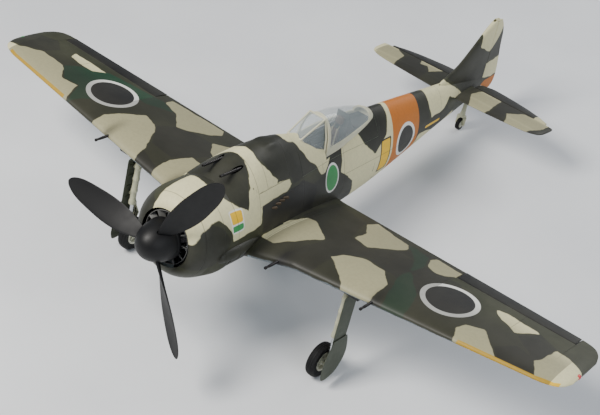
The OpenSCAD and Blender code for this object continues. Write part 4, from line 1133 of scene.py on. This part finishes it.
def make_engine():
    barrels, boxes, rods = [], [], []
    for k in range(CYLINDERS):
        turn = 360 * k / CYLINDERS
        way = about_thrust([(1, 0, 0)], turn)[0]
        barrels.append(solid_lathe("barrel", fin_profile(26, 55, 8.6, 9.6), (0, 90, 0), way, 30, 40))
        barrels.append(solid_lathe("head", fin_profile(55, 65.5, 9.9, 8.6, 1.6, 1.3), (0, 90, 0), way, 30,
                                   40))
        for v in (-5.6, 5.6):
            ends = about_thrust([(23, v * 0.75, 79.6), (42, v * 0.9, 79.8), (61, v, 81.4)], turn)
            rods.append(tube("rod", ends, 1.15, 12))
            box = [about_thrust([(57 + 7.6 * p, v + q * 3.0 * s, 80.0 + 9 * w) for p, q in
                                 ((0, -1), (0.25, -1.1), (0.7, -1), (1, -0.5), (1, 0.5), (0.7, 1),
                                  (0.25, 1.1), (0, 1))],
                                turn) for w, s in ((0, 0.7), (0.12, 1), (0.88, 1), (1, 0.8))]
            boxes.append(loft("box", box, 50))
    case = lathe("case", [(20.6, 76.4), (25, 76.4), (27.5, 79), (28, 84), (28, 98), (29, 101), (29, 104),
                          (20.6, 104)], steps=90)
    plate = lathe("plate", [(20.6, 104), (69.3, 104), (69.3, 106.4), (20.6, 106.4)], steps=120)
    ring = lathe("ring", [(30.5 + 1.5 * math.cos(t), 79 + 1.5 * math.sin(t))
                          for t in whole_turn(14)], steps=96)
    bolts = []
    for k in range(2 * CYLINDERS):
        foot = about_thrust([(25, 0, 77)], 360 * (k + 0.5) / (2 * CYLINDERS))[0]
        bolts.append(solid_lathe("bolt", [(0.9, -1.6), (1.2, -1.3), (1.2, 1.0)], foot, (0, 1, 0), 6))
    finish(join("engine_cylinders", barrels, 40), "airframe", M["fins"], "engine_black")
    finish(join("engine_rocker_boxes", boxes, 45), "airframe", M["engine"], "engine_black")
    finish(join("engine_pushrod_tubes", rods + bolts, 45), "airframe", M["metal"], "bright_metal")
    return finish(join("engine_crankcase", [case, plate, ring], 40), "airframe", M["engine"], "engine_black",
                  "dummy_engine")


def make_side_fairing(side):
    """Long teardrop blister low on the nose, running back into the wing root."""
    name = NAMES[side]
    rings = []
    for f in np.linspace(0, 1, 34):
        y = 90 + 100 * f
        fat = math.sin(math.pi * min(1, f ** 0.55)) ** 0.75 if 0 < f < 1 else 0.0
        high, out = 1.0 + 12.0 * fat, 0.6 + 10.0 * fat
        a = whole_turn(40)
        z = -14 + 3 * f + high * np.sin(a)
        bow = np.sqrt(np.maximum(COWL_R**2 - np.minimum(np.abs(z), 60) ** 2, 1))
        base = np.where(y < BODY_FRONT, bow, curve(BODY, max(y, BODY_FRONT), 1) - (z / 60) ** 2 * 3)
        x = base - 2.5 + np.where(np.cos(a) > 0, out * np.cos(a), 2.2 * np.cos(a))
        rings.append(np.stack([side * x, np.full(40, y), z], 1))
    piece = loft("side_fairing_" + name, rings, 50)
    fields = body_fields(level_points(piece))
    del fields["cream"]
    fields["dark"] = np.full(len(piece.data.vertices), DEEP)
    paint(piece, fields)
    return finish(piece, "airframe", M["body"], "foam_paint")


def make_exhausts():
    """Exhaust stubs curling out of the soot panel on both sides."""
    stubs = []
    for side in (-1, 1):
        for y, z in ((214, 27), (224, 30), (234, 32), (244, 33)):
            w = float(curve(BODY, y, 1))
            out = w * max(0.0, 1 - ((z + 5) / 100) ** 1.75) ** (1 / 1.75)
            path = [(side * (out - 5), y - 4, z), (side * (out - 0.5), y - 1.5, z),
                    (side * (out + 1.6), y + 2.5, z - 0.3),
                    (side * (out + 2.4), y + 7, z - 1)]
            stubs.append(tube("stub", path, (2.1, 2.1, 2.2, 2.4), 18))
    return finish(join("exhaust_stubs", stubs, 50), "airframe", M["exhaust"], "engine_black")


# ---------- canopy and cockpit ----------
GLASS_IN = -1.2


def hood_point(y, a, grow=0.0):
    w, lo, hi = curve(HOOD, y, 1) + grow, curve(HOOD, y, 2), curve(HOOD, y, 3) + grow
    c, s = math.cos(a), max(math.sin(a), 0.0)
    return [float(w) * math.copysign(abs(c) ** 0.95, c), y, float(lo + (hi - lo) * s**0.8)]


def shell_patch(name, surface, us, vs, outer, inner, sharp=40):
    """Closed thin shell between two offsets of a surface, over a grid of its two parameters."""
    m, n = len(us), len(vs)
    points = [surface(u, v, grow) for grow in (outer, inner) for u in us for v in vs]
    faces = grid_faces(m, n, False) + [face[::-1] for face in grid_faces(m, n, False, m * n)]
    rim = list(range(n)) + [i * n + n - 1 for i in range(1, m)]
    rim += [(m - 1) * n + j for j in range(n - 2, -1, -1)] + [i * n for i in range(m - 2, 0, -1)]
    faces += [(a, b, b + m * n, a + m * n) for a, b in zip(rim, rim[1:] + rim[:1])]
    return new_piece(name, points, faces, sharp)


def rail(name, path, wide, high, up=(0, 0, 1), steps=16, sharp=50):
    """Flat bar with rounded corners along a path."""
    path = np.array(path, float)
    along = np.gradient(path, axis=0)
    rings = []
    for p, v in zip(path, along):
        a, b, _ = axes_about(v, up)
        t = whole_turn(steps)[:, None]
        c, s = np.cos(t), np.sin(t)
        rings.append(p + wide / 2 * power(c, 0.45) * a + high / 2 * power(s, 0.45) * b)
    return loft(name, rings, sharp)


def slab(name, outline, thick):
    """Flat pane under a level outline, thick along its own normal."""
    outline = np.array(outline, float)
    normal = np.cross(outline[1] - outline[0], outline[2] - outline[1])
    normal /= np.linalg.norm(normal)
    return loft(name, [outline, outline + normal * thick])


def make_hood():
    arc = np.linspace(0.02, math.pi - 0.02, 60)
    glass = shell_patch("hood_glass", hood_point, np.linspace(377, 508, 44), arc, 0.0, GLASS_IN)
    finish(glass, "hatch", M["glass"], "glazing", "canopy_hood")
    full_arc = np.linspace(0, math.pi, 64)
    front = shell_patch("front_bow", hood_point, np.linspace(373.6, 379.4, 5), full_arc, 0.9, GLASS_IN - 0.6)
    back = shell_patch("back_cap", hood_point, np.linspace(503, 515.4, 9), full_arc, 0.7, -2.6)
    end = [hood_point(515.4, a, -2.6) for a in np.linspace(0, math.pi, 24)]
    cap = slab("back_plug", end, 2.0)
    sills = [shell_patch("sill", hood_point, np.linspace(377, 506, 40), arc, 0.8, GLASS_IN - 0.5)
             for arc in (np.linspace(0, 0.16, 6), np.linspace(math.pi - 0.16, math.pi, 6))]
    return finish(join("hood_frame", [front, back, cap] + sills, 45), "hatch", M["frames"], "frame_paint",
                  "canopy_frame")


def make_windscreen():
    """Flat armoured front pane, a triangular pane at each side, and their frame bars."""
    low, high = (13.2, 319.6, 88.6), (15.6, 371.6, 112)
    foot, sill = (26.4, 345.5, 61.6), (30.2, 371.6, 51)

    def turn(p, s):
        return s * p[0], p[1], p[2]

    panes = [slab("pane", [turn(low, -1), turn(low, 1), turn(high, 1), turn(high, -1)], -1.0)]
    bars = []
    for s in (-1, 1):
        panes.append(slab("pane", [turn(p, s) for p in (low, high, sill, foot)], 0.9 * s))
        bars.append(rail("bar", [turn(low, s), turn(high, s)], 2.6, 2.4, (s, 0, 0.4)))
        bars.append(rail("bar", [turn(low, s), turn(foot, s), turn(sill, s)], 2.6, 2.2, (s, 0, 0)))
        bars.append(rail("bar", [(s * 15.4, 370.9, 112), (s * 25.5, 370.9, 84), (s * 30.4, 370.9, 50.6)], 2.4,
                         2.0,
                         (0, 1, 0)))
    bars.append(rail("bar", [turn(low, -1), turn(low, 1)], 2.6, 2.4))
    bars.append(rail("bar", [turn(high, -1), turn(high, 1)], 2.6, 2.4))
    finish(join("windscreen_bars", bars, 50), "hatch", M["frames"], "frame_paint")
    return finish(join("windscreen_panes", panes), "hatch", M["glass"], "glazing", "windscreen")


def cushion(name, low, high, crown):
    """Padded form: a rounded box whose faces swell in the middle and pull in at the edges."""
    low, high = np.array(low, float), np.array(high, float)
    mid, half = (low + high) / 2, (high - low) / 2
    rings = []
    t = whole_turn(44)
    for f in np.linspace(-1, 1, 16):
        pull = max((1 - abs(f) ** 6) ** 0.25, 0.35)
        x = half[0] * pull * power(np.cos(t), 0.35)
        y = half[1] * pull * power(np.sin(t), 0.35)
        z = np.full(44, half[2] * f) + crown * f * (1 - (x / half[0]) ** 2) * (1 - (y / half[1]) ** 2)
        rings.append(np.stack([mid[0] + x, mid[1] + y, mid[2] + z], 1))
    return loft(name, rings, 60)


def make_cockpit():
    seat = [block("seat_shell", (-12, 410, 21.6), (12, 440, 24.5), 1.2),
            rail("seat_back", [(0, 437.5, 24), (0, 439, 45), (0, 440.5, 74)], 24, 2.6, THRUST, 28),
            rail("seat_side", [(-11.2, 437, 24), (-11.2, 424, 30), (-11.2, 411, 26)], 1.6, 9, (0, 0, 1)),
            rail("seat_side", [(11.2, 437, 24), (11.2, 424, 30), (11.2, 411, 26)], 1.6, 9, (0, 0, 1))]
    finish(join("seat_frame", seat, 45), "hatch", M["cockpit"], "cockpit_grey")
    pads = [cushion("pad", (-10, 411, 24.3), (10, 434, 29), 1.4),
            cushion("pad", (-9.5, 431.5, 32), (9.5, 436.8, 70), 0.8),
            cushion("pad", (-7, 438.5, 77), (7, 445, 90), 1.0)]
    armour = [rail("armour", [(0, 447, 50), (0, 447.5, 72), (0, 448, 97)], 25, 1.8, THRUST, 28),
              rail("brace", [(-9, 449, 92), (-9, 470, 66)], 2.0, 2.0),
              rail("brace", [(9, 449, 92), (9, 470, 66)], 2.0, 2.0),
              block("deck", (-19.2, 449, 49.2), (19.2, 474, 51.6), 0.6)]
    finish(join("headrest_armour", armour, 45), "hatch", M["cockpit"], "cockpit_grey")
    straps = [rail("strap", [(s * 5, 437.5, 75), (s * 5, 431.6, 71), (s * 5.4, 430.3, 60), (s * 5, 430.4, 45),
                             (s * 3, 428, 33), (s * 2, 421, 30.2)], 3.2, 0.7, (0, 1, 0.3)) for s in (-1, 1)]
    straps.append(rail("strap", [(-11, 424, 30.6), (-5, 421, 30.9), (5, 421, 30.9), (11, 424, 30.6)], 3.2,
                       0.7))
    finish(join("harness", straps, 60), "hatch", M["webbing"], "seat_leather")
    for k, pad in enumerate(pads):
        pad.name = ("seat_pad", "back_pad", "head_pad")[k]
        finish(pad, "hatch", M["leather"], "seat_leather", *(["pilot_seat"] if k == 0 else []))
    rims, faces = [], []
    for x, z, r in ((-12, 58, 4), (-2.5, 58.5, 4), (7, 58, 4), (15, 58.5, 3), (-15, 50.5, 2.6),
                    (-8, 50.8, 2.6),
                    (0, 50.6, 3), (7.5, 50.8, 2.6), (14, 51, 2.8)):
        rims.append(lathe("rim", [(r - 0.5, 0), (r, 0), (r, 1.1), (r - 0.3, 1.4), (r - 0.6, 1.1)],
                          (x, 358, z), THRUST, 28))
        faces.append(solid_lathe("face", [(r - 0.45, 0.1), (r - 0.5, 0.7)], (x, 358, z), THRUST, 28))
        hand = math.radians(40 + 37 * x)
        tip = (x + 0.7 * r * math.cos(hand), 358.9, z + 0.7 * r * math.sin(hand))
        rims.append(tube("hand", [(x, 358.9, z), tip], 0.22, 8))
    finish(join("dial_faces", faces), "hatch", M["dial"], "cockpit_grey")
    fittings = [tube("stick", [(0, 396, 22), (0, 394, 34), (0, 392, 44)], (1.3, 1.0, 1.0), 16),
                cushion("grip", (-1.9, 389.5, 43), (1.9, 393.5, 53), 0.2),
                block("sight", (-3.5, 352.5, 64), (3.5, 357.5, 69.5), 0.8),
                tube("sight_lens", [(0, 357, 67.4), (0, 359.4, 67.4)], 2.0, 24),
                block("throttle", (-18.6, 398, 38), (-16.4, 401, 47), 0.6),
                block("console", (13.4, 372, 21.6), (19.3, 440, 36), 0.8),
                block("console", (-19.3, 372, 21.6), (-13.4, 440, 36), 0.8)]
    finish(join("dial_rims", rims, 40), "hatch", M["rim"], "cockpit_grey")
    finish(join("cockpit_fittings", fittings, 45), "hatch", M["matt_black"], "cockpit_grey")


# ---------- undercarriage ----------
PIVOT_X, PIVOT_Z, LEG, WHEEL_IN = 214, -22, 150, 13
AXLE_Z = PIVOT_Z - LEG
# Lower door's corners: aft of the axle, above the pivot
LOWER_DOOR = [(-15, -94), (-22, -108), (-28, -128), (-28, -158), (-22, -167), (-6, -167), (12, -160),
              (26, -142),
              (28, -128), (23, -108), (17, -94)]
DOOR_X = PIVOT_X + 7.5
TYRE_R, TYRE_W, RIM_R = 29, 16, 16
TAIL_AXLE, TAIL_TYRE_R, TAIL_TYRE_W = (884, -46), 12, 8


def make_leg(side):
    name = NAMES[side]
    x = side * PIVOT_X
    drum = solid_lathe("drum", [(3.2, -18), (4, -17.3), (4, -12), (5.6, -12), (6, -11.5), (6, 11.5),
                                (5.6, 12), (4, 12),
                                (4, 17.3), (3.2, 18)], (x, AXLE_Y, PIVOT_Z), (0, 1, 0), 44)
    bands = [(5.2, 3), (5.2, 24), (6.0, 25), (6.0, 30), (5.2, 31), (5.2, 48), (5.9, 49), (5.9, 53), (5.2, 54),
             (5.2, 70),
             (5.9, 71), (5.9, 75), (5.2, 76), (5.2, 90), (6, 91), (6.2, 92), (6.2, 98), (5.4, 98.6),
             (3.6, 98.6)]
    upper = solid_lathe("upper", bands, (x, AXLE_Y, PIVOT_Z), (0, 0, -1), 44)
    foot = solid_lathe("foot", [(3.5, 138), (4.3, 139.2), (4.3, 154), (3.6, 155)], (x, AXLE_Y, PIVOT_Z),
                       (0, 0, -1), 40)
    axle = solid_lathe("axle", [(4, -4.2), (4, 4), (2.45, 4.4), (2.45, WHEEL_IN + 7.2), (3.9, WHEEL_IN + 7.3),
                                (3.9, WHEEL_IN + 8.4), (3.4, WHEEL_IN + 8.8)], (x, AXLE_Y, AXLE_Z),
                                (-side, 0, 0), 36)
    knee = (AXLE_Y + 16, (PIVOT_Z - 95 + AXLE_Z + 6) / 2)
    links = []
    for z in (PIVOT_Z - 95, AXLE_Z + 6):
        for s in (-1, 1):
            links.append(rail("link", [(x + s * 3.2, AXLE_Y + 3, z),
                                       (x + s * 2.2, knee[0], mix(z, knee[1], 0.97))], 1.8,
                              4.4, (1, 0, 0)))
        links.append(tube("pin", [(x - 4.6, AXLE_Y + 5, z), (x + 4.6, AXLE_Y + 5, z)], 1.5, 18))
    links.append(tube("pin", [(x - 4, *knee), (x + 4, *knee)], 1.6, 18))
    lugs = [rail("lug", [(x + side * 4.4, AXLE_Y, z), (x + side * 7.6, AXLE_Y, z)], 6, 5.4) for z in
            (PIVOT_Z - 30, PIVOT_Z - 80)]
    piston = solid_lathe("piston_" + name, [(3.6, 97), (3.6, 139)], (x, AXLE_Y, PIVOT_Z), (0, 0, -1), 40)
    line = tube("brake_line_" + name, [(x, AXLE_Y + 5.9, PIVOT_Z - 14), (x, AXLE_Y + 6.6, PIVOT_Z - 60),
                                       (x, AXLE_Y + 7.2, PIVOT_Z - 92), (x + 1, AXLE_Y + 11, PIVOT_Z - 112),
                                       (x + 1, AXLE_Y + 9.5, PIVOT_Z - 128), (x, AXLE_Y + 5, AXLE_Z + 8),
                                       (x - side * 3, AXLE_Y + 4.4, AXLE_Z + 1)], 0.75, 12)
    finish(piston, "gear_" + name, M["metal"], "bright_metal")
    finish(line, "gear_" + name, M["tyre"], "black_plastic")
    return finish(join("leg_casting_" + name, [drum, upper, foot, axle] + links + lugs, 40), "gear_" + name,
                  M["gear"],
                  "gear_paint", "leg_" + name)


def panel(outline, x, thick, bulge, side, steps=9):
    """Door skin over an outline of (aft, up), bulged outwards, with a rolled rim and closed back."""
    outline = np.array(outline, float)
    mid = outline.mean(0)
    reach = np.abs(outline - mid).max(0)
    rings = []
    scales = np.linspace(0.04, 1, steps)
    for face, shrink in ((0, scales), (1, scales[::-1])):
        for s in shrink:
            p = mid + (outline - mid) * s
            q = (p - mid) / reach
            lift = bulge * (1 - np.clip(q[:, 0] ** 2, 0, 1))
            edge = 0.35 if s == 1 else 0.0
            depth = x + lift + (thick - edge if face else edge)
            rings.append(np.stack([side * depth, p[:, 0], p[:, 1]], 1))
    return loft("panel", rings, 50)


def rounded(corners, radius, steps=7):
    """Outline with its corners rounded, one radius for each corner."""
    out = []
    corners = np.array(corners, float)
    for p, before, after, r in zip(corners, np.roll(corners, 1, 0), np.roll(corners, -1, 0), radius):
        a, b = (r * (q - p) / np.linalg.norm(q - p) for q in (before, after))
        out += [p + a * (1 - t) ** 2 + b * t**2 for t in np.linspace(0, 1, steps)]
        out.append((p + after) / 2)
    return out


def make_doors(side):
    name = NAMES[side]
    top, low = PIVOT_Z - 14, PIVOT_Z - 99
    upper = rounded([(AXLE_Y - 17, top), (AXLE_Y + 17, top), (AXLE_Y + 16.6, low), (AXLE_Y - 16.6, low)],
                    (5, 5, 2, 2))
    lower = rounded([(AXLE_Y + y, PIVOT_Z + z) for y, z in LOWER_DOOR], (3, 6, 9, 8, 4, 8, 8, 8, 8, 7, 3))
    skins = [panel(upper, DOOR_X, 1.3, 0.9, side), panel(lower, DOOR_X + 1.7, 1.2, 0.9, side)]
    ribs = []
    for z in np.linspace(top - 12, low + 12, 4):
        ribs.append(rail("rib", [(side * (DOOR_X + 0.3), AXLE_Y - 13, z), (side * (DOOR_X + 0.8), AXLE_Y, z),
                                 (side * (DOOR_X + 0.3), AXLE_Y + 13, z)], 2.2, 1.6, (1, 0, 0)))
    for s in (-1, 1):
        ribs.append(rail("rib", [(side * (DOOR_X + 0.4), AXLE_Y + s * 13, top - 6),
                                 (side * (DOOR_X + 0.4), AXLE_Y + s * 13, low + 6)], 2.2, 1.4, (1, 0, 0)))
        ribs.append(rail("rib", [(side * (DOOR_X + 1.9), AXLE_Y + s * 10, low),
                                 (side * (DOOR_X + 1.9), AXLE_Y + s * 18, PIVOT_Z - 140)], 2.2, 1.4,
                                 (1, 0, 0)))
    return finish(join("gear_door_" + name, skins + ribs, 50), "gear_" + name, M["door"], "gear_paint",
                  "gear_doors_" + name)


def tyre(name, r, w, bead, centre, blocks, body, node):
    """Tyre with a rounded carcass, circumferential grooves and shallow tread blocks on its shoulders."""
    half = w / 2
    t = np.radians(np.linspace(-118, 118, 64))
    radius = bead + (r - bead) * (0.30 + 0.70 * np.cos(t / 1.35) ** 0.66)
    across = half * power(np.sin(t), 0.95)
    on_tread = np.abs(across) < half * 0.62
    for groove in (-0.36, 0.0, 0.36):
        near = np.abs(across / half - groove) < 0.05
        radius = np.where(near & on_tread, radius - 0.55 * w / 16, radius)
    radius = np.minimum(radius, r)
    profile = np.concatenate([np.stack([radius, across], 1), [[bead, half * 0.72], [bead, -half * 0.72]]])
    steps = blocks * 6
    rings = []
    off_centre = np.abs(profile[:, 1]) / half
    lane = (off_centre > 0.45) & (off_centre < 0.8) & (profile[:, 0] > r * 0.86)
    for k in range(steps):
        a = 2 * math.pi * k / steps
        cut = 0.5 * w / 16 if k % 6 in (0, 1) else 0.0
        rr = profile[:, 0] - np.where(lane, cut, 0)
        rings.append(np.stack([profile[:, 1], rr * math.cos(a), rr * math.sin(a)], 1) + centre)
    return finish(hoop(name, rings, 40), body, M["tyre"], "tyre", node)


def make_wheel(side):
    name = NAMES[side]
    centre = np.array([side * (PIVOT_X - WHEEL_IN), AXLE_Y, AXLE_Z], float)
    tyre("tyre_tread_" + name, TYRE_R, TYRE_W, RIM_R, centre, 36, "wheel_" + name, "tyre_" + name)
    barrel = lathe("barrel", [(13.6, -6.6), (15.4, -7.4), (16.6, -7.2), (16.6, -6.2), (15.9, -5.4),
                              (15.9, 5.4), (16.6, 6.2),
                              (16.6, 7.2), (15.4, 7.4), (13.6, 6.6), (13.2, 4), (13.2, -4)], centre, ACROSS,
                              72)
    boss = lathe("boss", [(2.6, -7), (4.6, -7), (5.4, -6.2), (6.4, -3.4), (6.4, 3.4), (5.4, 6.2), (4.6, 7),
                          (2.6, 7)],
                 centre, ACROSS, 48)
    web = lathe("web", [(6, -1), (13.6, -1.4), (13.6, 1.4), (6, 1)], centre, ACROSS, 72)
    holes = []
    for k in range(6):
        a = math.radians(60 * k + 30)
        at = centre + np.array([0, 9.9 * math.cos(a), 9.9 * math.sin(a)])
        holes.append(solid_lathe("hole", [(2.3, -5), (2.3, 5)], at, (1, 0, 0), 28))
    carve(web, holes)
    spokes = []
    for k in range(6):
        a = math.radians(60 * k)
        out = np.array([0, math.cos(a), math.sin(a)])
        for face in (-1, 1):
            spokes.append(rail("spoke", [centre + out * 5.4 + (face * 3.4, 0, 0),
                                         centre + out * 9.6 + (face * 2.6, 0, 0),
                                         centre + out * 13.9 + (face * 3.2, 0, 0)], 3.0, 3.2, (1, 0, 0), 14))
    return finish(join("hub_casting_" + name, [barrel, boss, web] + spokes, 38), "wheel_" + name, M["rim"],
                  "rim",
                  "wheel_hub_" + name)


def make_tail_wheel():
    centre = np.array([0, *TAIL_AXLE], float)
    tyre("tail_tyre_tread", TAIL_TYRE_R, TAIL_TYRE_W, 7, centre, 24, "tail_wheel", "tail_tyre")
    hub = lathe("tail_hub_casting",
                [(1.56, -4), (3, -4), (3.4, -3.4), (3.8, -1.6), (5.4, -1.4), (6, -3), (6.4, -3.7),
                                     (7.1, -3.6), (7.1, 3.6), (6.4, 3.7), (6, 3), (5.4, 1.4), (3.8, 1.6),
                                     (3.4, 3.4), (3, 4),
                                     (1.56, 4)], centre, ACROSS, 60)
    return finish(hub, "tail_wheel", M["rim"], "rim", "tail_hub")


def make_tail_leg():
    y, z = TAIL_AXLE
    stem = solid_lathe("stem", [(1.96, 0), (1.96, 28), (4, 28.4), (4, 44), (4.5, 45), (4.5, 51), (5.2, 52),
                                (5.2, 57),
                                (4.2, 58)], (0, y, 30), (0, 0, -1), 40)
    crown = cushion("crown", (-8, y - 5, z + 14.6), (8, y + 5, z + 19.2), 0.3)
    arms = [rail("arm", [(s * 6.7, y, z + 16.5), (s * 6.6, y, z + 8), (s * 6.5, y, z - 0.5)], 2.0, 7.4,
                 (s, 0, 0), 20)
            for s in (-1, 1)]
    pins = [solid_lathe("pin", [(2.6, -8.3), (3, -7.9), (3, -7.2), (1.5, -7.1), (1.5, 7.1), (3, 7.2),
                                (3, 7.9), (2.6, 8.3)],
                        (0, y, z), (1, 0, 0), 24)]
    return finish(join("tail_leg_casting", [stem, crown] + arms + pins, 40), "tail_leg", M["gear"],
                  "gear_paint",
                  "tail_fork")


def make_lights():
    for side, name in ((1, "red"), (-1, "green")):
        a = np.radians(np.linspace(2, 178, 26))
        profile = np.stack([3.9 * np.sin(a) ** 0.8, -6 * np.cos(a)], 1)
        at = (side * (SEMI_SPAN - 2.5), 274, float(wing_plane(SEMI_SPAN)))
        lens = solid_lathe("nav_lens_" + name, profile, at, (0, 1, 0), 40, 60)
        finish(lens, "airframe", M[name], "lens", *(["nav_lights"] if side > 0 else []))


def make_guns():
    """Barrels with a cooling jacket and a flared muzzle, in the wings and over the cowl."""
    barrels = []
    for side in (-1, 1):
        for x, first, last in ((WING_GUNS[0], 150, 205), (WING_GUNS[1], 172, 226)):
            z = float(wing_plane(x)) + 1
            reach = last - first
            profile = [(1.3, 0.2), (2.1, 0), (2.4, 0.5), (2.4, 3), (1.9, 3.6), (1.9, 9), (2.3, 9.6),
                       (2.3, 13), (2.4, 14),
                       (2.4, reach), (0.5, reach), (0.5, 6), (1.3, 5.6)]
            barrels.append(lathe("barrel", profile, (side * x, first, z), (0, 1, 0), 36, 50))
        profile = [(1.1, 0.2), (1.9, 0), (2.1, 0.6), (2.1, 3), (1.5, 4)]
        for h in np.arange(6, 44, 4.0):
            profile += [(2.15, h), (2.15, h + 2.4), (1.6, h + 2.8), (1.6, h + 3.6)]
        profile += [(2.15, 48), (2.15, 70), (0.4, 70), (0.4, 6), (1.1, 5.6)]
        barrels.append(lathe("barrel", profile, (side * GUN_X, 126, GUN_Z), (0, 1, 0), 32, 50))
    return finish(join("gun_barrels", barrels, 50), "airframe", M["gun"], "black_plastic", "wing_cannons",
                  "cowl_guns")


CARRIED = {
    "plywood": ("firewall", "battery_tray"), "metal": ("motor_base", "prop_shaft", "prop_nut", "screws"),
    "can": ("motor_can",), "battery": ("battery",), "circuit": ("speed_controller", "receiver"),
    "servo": ("tail_servos", "aileron_servos"), "carbon": ("spar_tube",),
    "horn": ("elevator_horn", "rudder_horn", "elevator_servo_arm", "rudder_servo_arm",
             "aileron_servo_arm_left",
             "aileron_servo_arm_right"),
    "wire": ("elevator_pushrod", "rudder_pushrod", "aileron_pushrod_left", "aileron_pushrod_right"),
    "matt_black": ("spinner_backplate",), "engine": ("retract_units",), "cockpit": ("cockpit_tub",)}
BEVELLED = ("battery", "speed_controller", "receiver", "tail_servos", "aileron_servos", "retract_units",
            "cockpit_tub")


def dress_carried():
    """Materials for the CAD nodes that stay, and small rounded edges on the boxy ones."""
    for key, names in CARRIED.items():
        for name in names:
            node = frame["nodes"][name]
            node.data.materials.clear()
            node.data.materials.append(M[key])
            if name in BEVELLED:
                node.modifiers.new("weld", "WELD").merge_threshold = 1e-5
                edge = node.modifiers.new("edge", "BEVEL")
                edge.width, edge.segments, edge.limit_method = 0.0006, 3, "ANGLE"
                edge.angle_limit = math.radians(40)
                edge.harden_normals = True


make_spinner()
make_propeller()
make_fan()
make_engine()
make_exhausts()
make_hood()
make_windscreen()
make_cockpit()
for side in (-1, 1):
    make_side_fairing(side)
    make_leg(side)
    make_doors(side)
    make_wheel(side)
make_tail_wheel()
make_tail_leg()
make_lights()
make_guns()
dress_carried()


# ---------- camera, light and floor ----------
LENS, SENSOR = 77.29, 36.0
# Level place of the eye, and its angles in degrees: aside, down, and about its own line
EYE = (939, -1169.7, 999.7)
TURN, DROP, ROLL = 31.07, 30.37, 14.46


def make_camera():
    a, e, roll = (math.radians(v) for v in (TURN, DROP, ROLL))
    ahead = np.array([-math.sin(a) * math.cos(e), math.cos(a) * math.cos(e), -math.sin(e)])
    right = np.cross(ahead, (0, 0, 1))
    right /= np.linalg.norm(right)
    top = np.cross(right, ahead)
    across = math.cos(roll) * right + math.sin(roll) * top
    up = -math.sin(roll) * right + math.cos(roll) * top
    camera = bpy.data.objects.new("camera", bpy.data.cameras.new("camera"))
    bpy.context.scene.collection.objects.link(camera)
    camera.data.lens = LENS
    camera.data.sensor_width = SENSOR
    camera.data.clip_start = 0.02
    turn = Matrix([[*(v @ AXES)] for v in (across, up, -ahead)]).transposed()
    camera.matrix_world = Matrix.Translation(Vector(to_row(EYE))) @ turn.to_4x4()
    bpy.context.scene.camera = camera


def area_light(name, place, watts, size, tint):
    """Lamp aimed at the model's middle, placed in the frame's metres."""
    light = bpy.data.lights.new(name, "AREA")
    light.energy, light.size, light.color = watts, size, tint
    lamp = bpy.data.objects.new(name, light)
    bpy.context.scene.collection.objects.link(lamp)
    lamp.location = place
    lamp.rotation_euler = (Vector((0, 0, 0.15)) - Vector(place)).to_track_quat("-Z", "Y").to_euler()


def make_stage():
    bpy.ops.mesh.primitive_plane_add(size=14, location=(0, 0, 0))
    floor = bpy.context.object
    floor.name = "floor"
    p = Paint("floor")
    p.set(Roughness=0.75)
    tone = p.step(p.noise(3, 4).outputs["Fac"], 0.3, 0.7)
    floor.data.materials.append(p.use(p.blend(tone, srgb(222, 224, 226), srgb(214, 216, 219))))
    world = bpy.data.worlds.new("studio")
    bpy.context.scene.world = world
    world.use_nodes = True
    back = world.node_tree.nodes["Background"]
    back.inputs["Color"].default_value = (0.80, 0.86, 0.95, 1)
    back.inputs["Strength"].default_value = 0.42
    area_light("key", (-0.7, -1.5, 2.1), 84, 0.9, (1.0, 0.97, 0.92))
    area_light("fill", (1.9, -0.9, 1.3), 16, 1.4, (0.93, 0.96, 1.0))
    area_light("rim", (0.4, 1.9, 1.5), 22, 1.1, (1, 1, 1))


make_camera()
make_stage()
